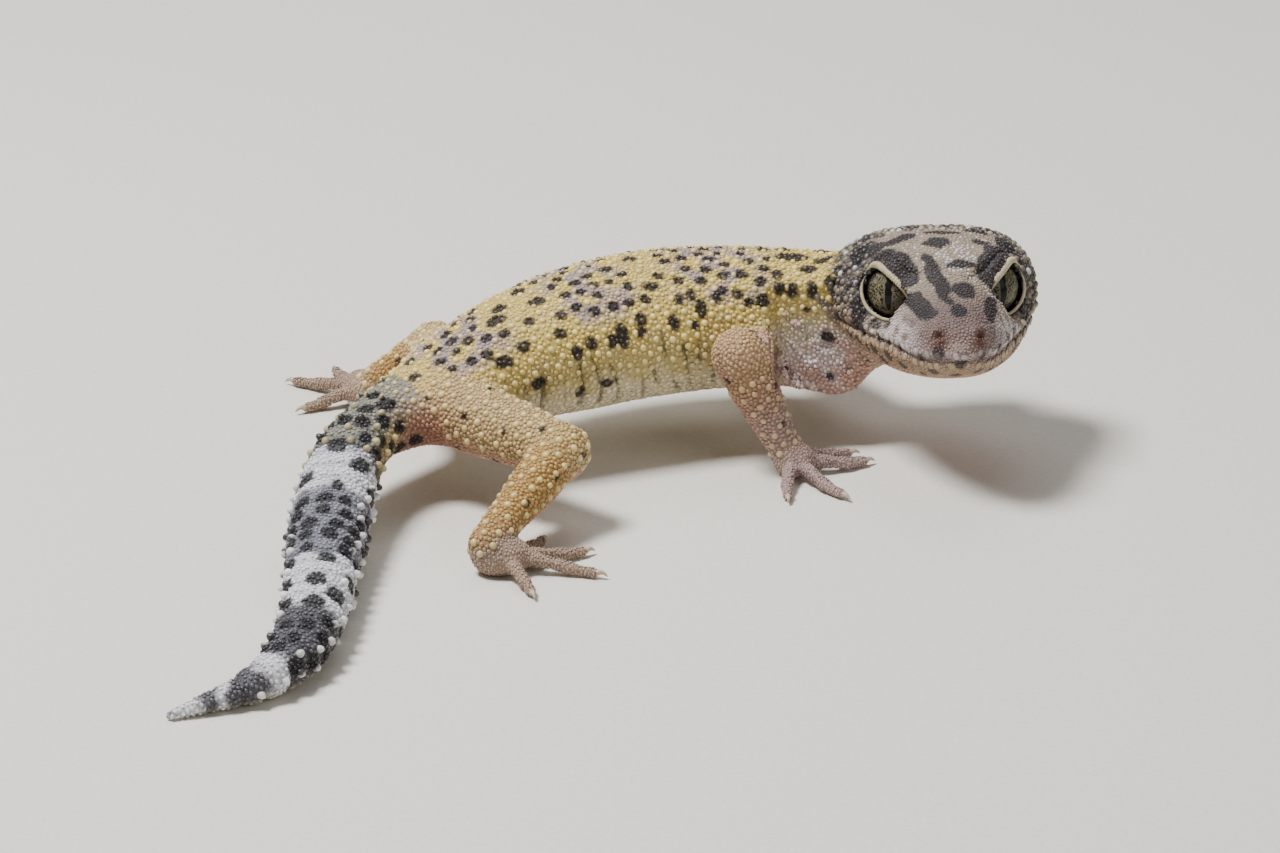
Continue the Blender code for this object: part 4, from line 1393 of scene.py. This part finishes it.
def roots_kept(coat):
    """Roots of scales, the candidates thinned to each region's gap, tubercles first and granules
    clear of them: points, which are raised, lip plates or flat, sizes, and the draws."""
    points, draws = scale_roots(coat)
    parts, limbs = part_weights(points)
    place, high, _ = body_place(points)
    forward, left, up = from_head(points).T
    body, head, foot = parts["body"] > 0.5, parts["head"] > 0.5, parts["foot"] > 0.45
    limb = ~body & ~head & ~foot
    leg = limb & (limbs[2:].sum((0, 1)) > 0.5)
    tail = body & (place < -4)
    chest = body & (place > 44) & (high < 0.1)
    over_mouth = up - mouth_height(forward)
    lip = (np.abs(over_mouth - 0.62) < 0.14) | (np.abs(over_mouth + 0.6) < 0.12)
    lip &= head & (forward > MOUTH_CORNER + 1)
    back = body & ~tail & (high > -0.12 + 0.4 * smooth(place, 38, 46)) & (place < 57)
    temple = head & ((forward < -6.5) | (np.abs(left) > 7.6)) & (over_mouth > 0.8)
    cone = tail & (high > -0.35) & (place > -58) & (np.cos(tau * place / WHORL) < -0.55)
    cone &= (high < 0.62) | (place > -14.5)
    regions = {"leg": leg, "limb": limb, "lip": lip, "temple": temple, "cone": cone, "back": back}
    inside = [regions[name] for name in RAISED_GAPS]
    raised = np.select(inside, list(RAISED_GAPS.values()), coat.tubercles / MM)
    seen = limb & (points[:, 2] > 2.2) & (skin_slope(points)[:, 2] > -0.35)
    bare = (in_groin(points) > 0.5) | (limbs[:2, 0].sum(0) > 0.12) | (body & (place > 44) & (high < 0.3))
    where = np.nonzero((lip | back | temple | cone | seen) & ~bare)[0]
    first = where[spaced(points[where], raised[where], draws)]
    near = np.full(len(points), FAR)
    slab = in_reach(points, 1.2)
    for middle in points[first]:
        here = slab(middle)
        near[here] = np.minimum(near[here], np.linalg.norm(points[here] - middle, axis=1))
    snout = head & (forward > 3.0)
    belly = body & (high < -0.1) & (place > 8)
    gaps = (coat.toes / MM, coat.snout / MM, coat.head / MM, LIMB_GAP, CHEST_GAP, coat.belly / MM)
    gap = np.select([foot, snout, head, limb, chest, belly], gaps, coat.back / MM)
    clear = np.nonzero(near > 0.9 * np.where(limb | temple, 0.38, 0.44) + 0.42 * gap)[0]
    second = clear[spaced(points[clear], gap[clear], draws)]
    inside = [regions[name] for name in RAISED_SIZES]
    size = np.select(inside, list(RAISED_SIZES.values()))
    granule = gap * np.where(limb | chest, LIMB_SHARE, GRANULE_SHARE)
    size = np.where(np.isin(np.arange(len(points)), first), size, granule)
    kept = np.concatenate([first, second])
    big = np.arange(len(kept)) < len(first)
    flat = (gap[kept] > 0.55) & ~big
    return points[kept], big, lip[kept], flat, size[kept] * draws.uniform(0.9, 1.1, len(kept)), draws


def lie_of(normals, parts, limbs, place):
    """The way the coat lies: tailwards on the body, to the nape on the head, down the limbs."""
    way = -spine_way(place) * parts["body"][:, None]
    way = way - HEAD_AXES[:, 0] * parts["head"][:, None]
    for i, limb in enumerate(LIMBS.values()):
        turn = radians(limb.foot.heading)
        ends = (
            np.subtract(limb.bend, limb.root), np.subtract(limb.end, limb.bend), (cos(turn), sin(turn), 0)
        )
        for j, end in enumerate(ends):
            way = way + unit(np.array(end, float)) * limbs[i, j][:, None]
    way = way - (way * normals).sum(1)[:, None] * normals
    return unit(way)


def atlas(points, parts, limbs, place, out):
    """Each point's place on an unwrap of the skin: along and around the body in the lower half,
    the head and the four limbs in strips of the upper half."""
    (level,) = read(SPINE, place, "height")
    around = np.arctan2(out, points[:, 2] - level) / tau
    flat = np.column_stack([0.01 + 0.98 * (place + 65) / 127, 0.25 + 0.46 * around])
    forward, left, up = from_head(points).T
    head = np.column_stack([0.02 + 0.46 * (forward + 16) / 28, 0.75 + 0.46 * np.arctan2(left, up + 2) / tau])
    flat = np.where((parts["head"] > 0.5)[:, None], head, flat)
    for i, limb in enumerate(LIMBS.values()):
        root, way = np.array(limb.root), unit(np.subtract(limb.end, limb.root))
        side = unit(np.cross(way, (0, 0, 1)))
        step = points - root
        along = np.clip((step @ way) / 36 + 0.25, 0, 1)
        turn = np.arctan2(step @ side, step @ np.cross(side, way)) / tau
        strip = np.column_stack([0.52 + 0.46 * along, 0.56 + 0.12 * i + 0.1 * turn])
        flat = np.where((limbs[i].sum(0) > 0.5)[:, None], strip, flat)
    return np.clip(flat, 0.003, 0.997)


GRANULE = dome(6, ((1.0, -0.5), (0.76, 0.62)))
TUBERCLE = dome(8, ((1.0, -0.4), (0.90, 0.30), (0.55, 0.82)))
# Heights up a dome and the painted shade of its colour there: darker low in the creases, a painted highlight
# on top.
DOME_PAINTED_SHADES = (-0.5, 0.2, 1.0), (0.45, 0.86, 1.06)
# Heights of lip plates and flat belly scales, of the tail's cones and of the head's tubercles.
PLATE_HEIGHT, CONE_HEIGHT, HEAD_HEIGHT = 0.11, 0.58, 0.27
MOST_TRIANGLES = 190000


def grown(name, slot, shape, roots, frames, spans, heights, colours, marks, flats, material):
    """Copies of a dome at the roots, each spanned along its lie and across it, as one mesh."""
    points, corners, sizes = shape
    lie, side, normal = frames
    x, y, z = points.T[:, None, :, None]
    spread = x * lie[:, None] * spans[:, 0, None, None]
    spread = spread + y * side[:, None] * spans[:, 1, None, None]
    placed = roots[:, None] + spread + z * normal[:, None] * heights[:, None, None]
    placed[..., 2] = np.maximum(placed[..., 2], 0.0)
    runs = (corners[None] + np.arange(len(roots))[:, None] * len(points)).ravel()
    # Painted shade low on each dome and a painted highlight on its top.
    shade = np.tile(np.interp(points[:, 2], *DOME_PAINTED_SHADES), len(roots))
    placed = placed.reshape(-1, 3)
    tints = marked(placed, *(np.repeat(values, len(points), axis=0) for values in (colours, *marks)))
    tints = np.clip(tints * shade[:, None], 0, 1)
    uvs = (flats[:, None] + 0.0014 * points[None, :, :2]).reshape(-1, 2)
    return new_piece(name, placed, runs, np.tile(sizes, len(roots)), material, slot, tints, uvs)


class GECKO_OT_scales(bpy.types.Operator):
    """Granules, tubercles, lip plates and belly scales, each a small closed dome on the skin"""

    bl_idname = "gecko.scales"
    bl_label = "Scales"

    def execute(self, context):
        coat, tones = context.scene.gecko_coat, palette(context.scene)
        roots, big, plate, flat, size, draws = roots_kept(coat)
        colours, marks, parts, (place, out) = coat_colour(roots, tones)
        _, limbs = part_weights(roots)
        normal = unit(skin_slope(roots))
        lie = lie_of(normal, parts, limbs, place)
        frames = (lie, np.cross(normal, lie), normal)
        forward, left, up = from_head(roots).T
        head, foot = parts["head"], parts["foot"]
        tail = parts["body"] * smooth(-place, 1, 4)
        lit = np.where(big & ~plate, 0.5, 0.0) * (1 - 0.8 * head) * (1 - 0.35 * tail)
        lit *= 1 - 0.6 * (parts["upper"] + parts["lower"]) * smooth(limbs[:2].sum((0, 1)), 0.2, 0.5)
        colours = blend(colours, tones["tubercle"], lit)
        colours = blend(colours, tones["tail_white"], 0.75 * big * tail * smooth(-place, 13, 15))
        # Painted highlights: white glints laid at random on scales of the upper head, the tubercles at its
        # back and the crown.
        crown = (bump(forward, 0.3, 2.6) * bump(left, 1.2, 2.2) > 0.4) & (up > 1)
        painted_glints = np.zeros(len(roots), bool)
        for share, inside in (
            (0.10, (head > 0.6) & (up > -1) & (forward < 5)),
            (0.22, (head > 0.6) & (forward < -7) & big),
            (0.65, crown),
        ):
            painted_glints |= (draws.uniform(size=len(roots)) < share) & inside
        colours = blend(colours, tones["tail_white"], 0.6 * painted_glints)
        colours = colours * draws.uniform(0.84, 1.1, len(roots))[:, None]
        wide = np.where(foot > 0.5, 1.2, np.where(plate, 1.05, 1.0))
        spans = np.column_stack([size / wide, size * wide]) * draws.uniform(0.93, 1.07, (len(roots), 2))
        cone = big & (tail > 0.5)
        height = np.where(big, coat.tubercle_height / MM, coat.height / MM)
        height = height * draws.uniform(0.85, 1.15, len(roots))
        height = np.where(plate | flat, PLATE_HEIGHT, np.where(cone, CONE_HEIGHT, height))
        height = np.where(~big, height * (1 - 0.3 * head) * (1 - 0.35 * foot), height)
        height = np.where(big & (head > 0.5) & ~plate, HEAD_HEIGHT, height)
        spans = np.where(cone[:, None], spans * 0.85, spans)
        flats = atlas(roots, parts, limbs, place, out)
        material = coat_material("scales", 0.40, 0.5)
        rest = (head <= 0.5) & (tail <= 0.5)
        regions = {
            "head": ("head_skin", head > 0.5),
            "tail": ("tail_skin", (head <= 0.5) & (tail > 0.5)),
            "limb": ("limb_skin", rest & (parts["body"] < 0.5)),
            "body": ("body_skin", rest & (parts["body"] >= 0.5)),
        }
        for shape, kind, chosen in ((TUBERCLE, "tubercles", big), (GRANULE, "granules", ~big)):
            triangles = (shape[2] - 2).sum()
            for region, (slot, inside) in regions.items():
                where = np.nonzero(chosen & inside)[0]
                where = where[np.argsort(place[where])]
                groups = np.array_split(where, len(where) * triangles // MOST_TRIANGLES + 1)
                for i, some in enumerate(groups, 1):
                    axes, dark = [axis[some] for axis in frames], [mark[some] for mark in marks]
                    looks = (roots[some], axes, spans[some], height[some], colours[some], dark, flats[some])
                    grown(f"{region}_{kind}_{i}", slot, shape, *looks, material)
        return {"FINISHED"}


class GECKO_OT_eyes(bpy.types.Operator):
    """Both eyeballs, with iris, slit and a clear coat"""

    bl_idname = "gecko.eyes"
    bl_label = "Eyes"

    def execute(self, context):
        look = context.scene.gecko_eyes
        material = eye_material(look)
        for word, left in (("left", 1), ("right", -1)):
            points, corners, sizes, places = eye_shape(left, look)
            eye = new_piece(f"eyeball_{word}", points, corners, sizes, material, "eye")
            layer = eye.data.attributes.new("look", "FLOAT_VECTOR", "POINT")
            layer.data.foreach_set("vector", places.astype(np.float32).ravel())
            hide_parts(f"eye_{word}")
        return {"FINISHED"}


# Bands of the lids: first and last angle round the opening, reach past the eyeball, radius,
# depth of the grooves and how far out from the opening's rim.
LID_BANDS = {"fringe": (-12, 180, 0.8, 0.36, 0.10, 1.12), "rim": (174, 342, 0.6, 0.18, 0.04, 1.03)}
LID_RINGS, LID_SIDES, LID_GROOVES = 260, 14, 44


class GECKO_OT_lids(bpy.types.Operator):
    """The grooved fringe of each upper lid and the thin rim of each lower lid"""

    bl_idname = "gecko.lids"
    bl_label = "Lids"

    def execute(self, context):
        tones = palette(context.scene)
        material = plain_material("lid_fringe", tones["fringe"], 0.55, 0.7)
        for word, left in (("left", 1), ("right", -1)):
            for name, (start, end, reach, thick, comb, beyond) in LID_BANDS.items():
                path = lid_path(left, start, end, LID_RINGS, EYE_RADIUS + reach, beyond)
                steps = np.linspace(0, 1, LID_RINGS)
                taper = np.minimum(smooth(steps, 0, 0.2), smooth(steps, 1, 0.8)) * 0.88 + 0.12
                radii = thick * taper * (1 + comb * np.sin(tau * steps * LID_GROOVES))
                points = tube(path, radii, LID_SIDES, 0.8, HEAD_AXES[:, 0])
                corners, sizes = capped(LID_RINGS, LID_SIDES)
                new_piece(f"lid_{name}_{word}", points, corners, sizes, material, "head_skin")
        return {"FINISHED"}


CLAW_RINGS, CLAW_SIDES, CLAW_RADIUS = 12, 10, 0.3


class GECKO_OT_claws(bpy.types.Operator):
    """A small curved claw at the end of every toe"""

    bl_idname = "gecko.claws"
    bl_label = "Claws"

    def execute(self, context):
        material = plain_material("claw", tone("b7a48f"), 0.35)
        for name, limb in LIMBS.items():
            shapes, corners, sizes = [], [], []
            for toe in limb.foot.toes:
                path, heading = toe_path(limb.foot, toe)
                steps = np.linspace(0, 1, CLAW_RINGS)
                way = np.array((cos(heading), sin(heading), 0))
                spine = path[-1] + way * (0.3 + (CLAW_LENGTH - 0.1) * steps)[:, None]
                spine[:, 2] += 0.18 * np.sin(pi * steps) - 0.28 * steps**2
                points = tube(spine, CLAW_RADIUS * (1 - steps) ** 0.7 + 0.03, CLAW_SIDES)
                points[:, 2] = np.maximum(points[:, 2], 0.02)
                run, counts = capped(CLAW_RINGS, CLAW_SIDES)
                corners.append(run + len(shapes) * CLAW_RINGS * CLAW_SIDES)
                shapes.append(points)
                sizes.append(counts)
            joined = [np.concatenate(runs) for runs in (shapes, corners, sizes)]
            new_piece(f"{name}_claws", *joined, material, "limb_skin")
        return {"FINISHED"}


# The floor's half side, and each light's place and side, in metres.
FLOOR_HALF = 3
LAMPS = {
    "key": ((-0.24, -0.02, 0.56), 0.16),
    "fill": ((0.5, -0.45, 0.35), 0.5),
    "top": ((0.05, 0.35, 0.6), 0.4),
}
# Where the camera looks, in the animal's axes.
LOOK_AT = (0.0, 12.5, 0.0)


class GECKO_OT_stage(bpy.types.Operator):
    """Plain pale floor, soft lights and the camera"""

    bl_idname = "gecko.stage"
    bl_label = "Stage"

    def execute(self, context):
        scene, stage = context.scene, context.scene.gecko_stage
        mesh = bpy.data.meshes.new("floor")
        corners = [(x * FLOOR_HALF, y * FLOOR_HALF, 0) for x, y in ((-1, -1), (1, -1), (1, 1), (-1, 1))]
        mesh.from_pydata(corners, [], [(0, 1, 2, 3)])
        mesh.materials.append(plain_material("floor", tuple(stage.floor), 0.8, 0.98))
        floor = bpy.data.objects.new("floor", mesh)
        scene.collection.objects.link(floor)
        target = Vector(place_in_row(LOOK_AT))
        back = Vector((0, -cos(stage.elevation), sin(stage.elevation)))
        data = bpy.data.cameras.new("camera")
        data.lens, data.sensor_width, data.clip_start = stage.lens, 36.0, 0.01
        camera = bpy.data.objects.new("camera", data)
        camera.location = target + back * stage.distance
        camera.rotation_euler = back.to_track_quat("Z", "Y").to_euler()
        scene.collection.objects.link(camera)
        scene.camera = camera
        for name, (place, size) in LAMPS.items():
            light = bpy.data.lights.new(name, "AREA")
            light.energy, light.size = stage.key if name == "key" else stage.fill, size
            lamp = bpy.data.objects.new(name, light)
            lamp.location = place
            lamp.rotation_euler = Vector(place).to_track_quat("Z", "Y").to_euler()
            scene.collection.objects.link(lamp)
        world = bpy.data.worlds.new("world")
        world.use_nodes = True
        sky = world.node_tree.nodes["Background"].inputs
        sky["Color"].default_value, sky["Strength"].default_value = (1, 0.98, 0.95, 1), stage.sky
        scene.world = world
        return {"FINISHED"}


OPERATORS = (GECKO_OT_skin, GECKO_OT_scales, GECKO_OT_eyes, GECKO_OT_lids, GECKO_OT_claws, GECKO_OT_stage)
SETTINGS = {
    "gecko_tones": GeckoTones, "gecko_coat": GeckoCoat, "gecko_eyes": GeckoEyes, "gecko_stage": GeckoStage,
}


class GECKO_PT_panel(bpy.types.Panel):
    """The model's pieces, in the 3D view's sidebar"""

    bl_label = "Leopard Gecko"
    bl_idname = "GECKO_PT_panel"
    bl_space_type = "VIEW_3D"
    bl_region_type = "UI"
    bl_category = "Gecko"

    def draw(self, context):
        for operator in OPERATORS:
            self.layout.operator(operator.bl_idname)


def register():
    """Registers the classes and hangs the settings on the scene."""
    for kind in (*SETTINGS.values(), *OPERATORS, GECKO_PT_panel):
        bpy.utils.register_class(kind)
    for name, kind in SETTINGS.items():
        setattr(bpy.types.Scene, name, PointerProperty(type=kind))


def unregister():
    """Takes the settings and the classes away again."""
    for name in SETTINGS:
        delattr(bpy.types.Scene, name)
    for kind in reversed((*SETTINGS.values(), *OPERATORS, GECKO_PT_panel)):
        bpy.utils.unregister_class(kind)


def main():
    """Registers the add-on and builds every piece."""
    register()
    for operator in OPERATORS:
        group, name = operator.bl_idname.split(".")
        getattr(getattr(bpy.ops, group), name)()


if __name__ == "__main__":
    main()
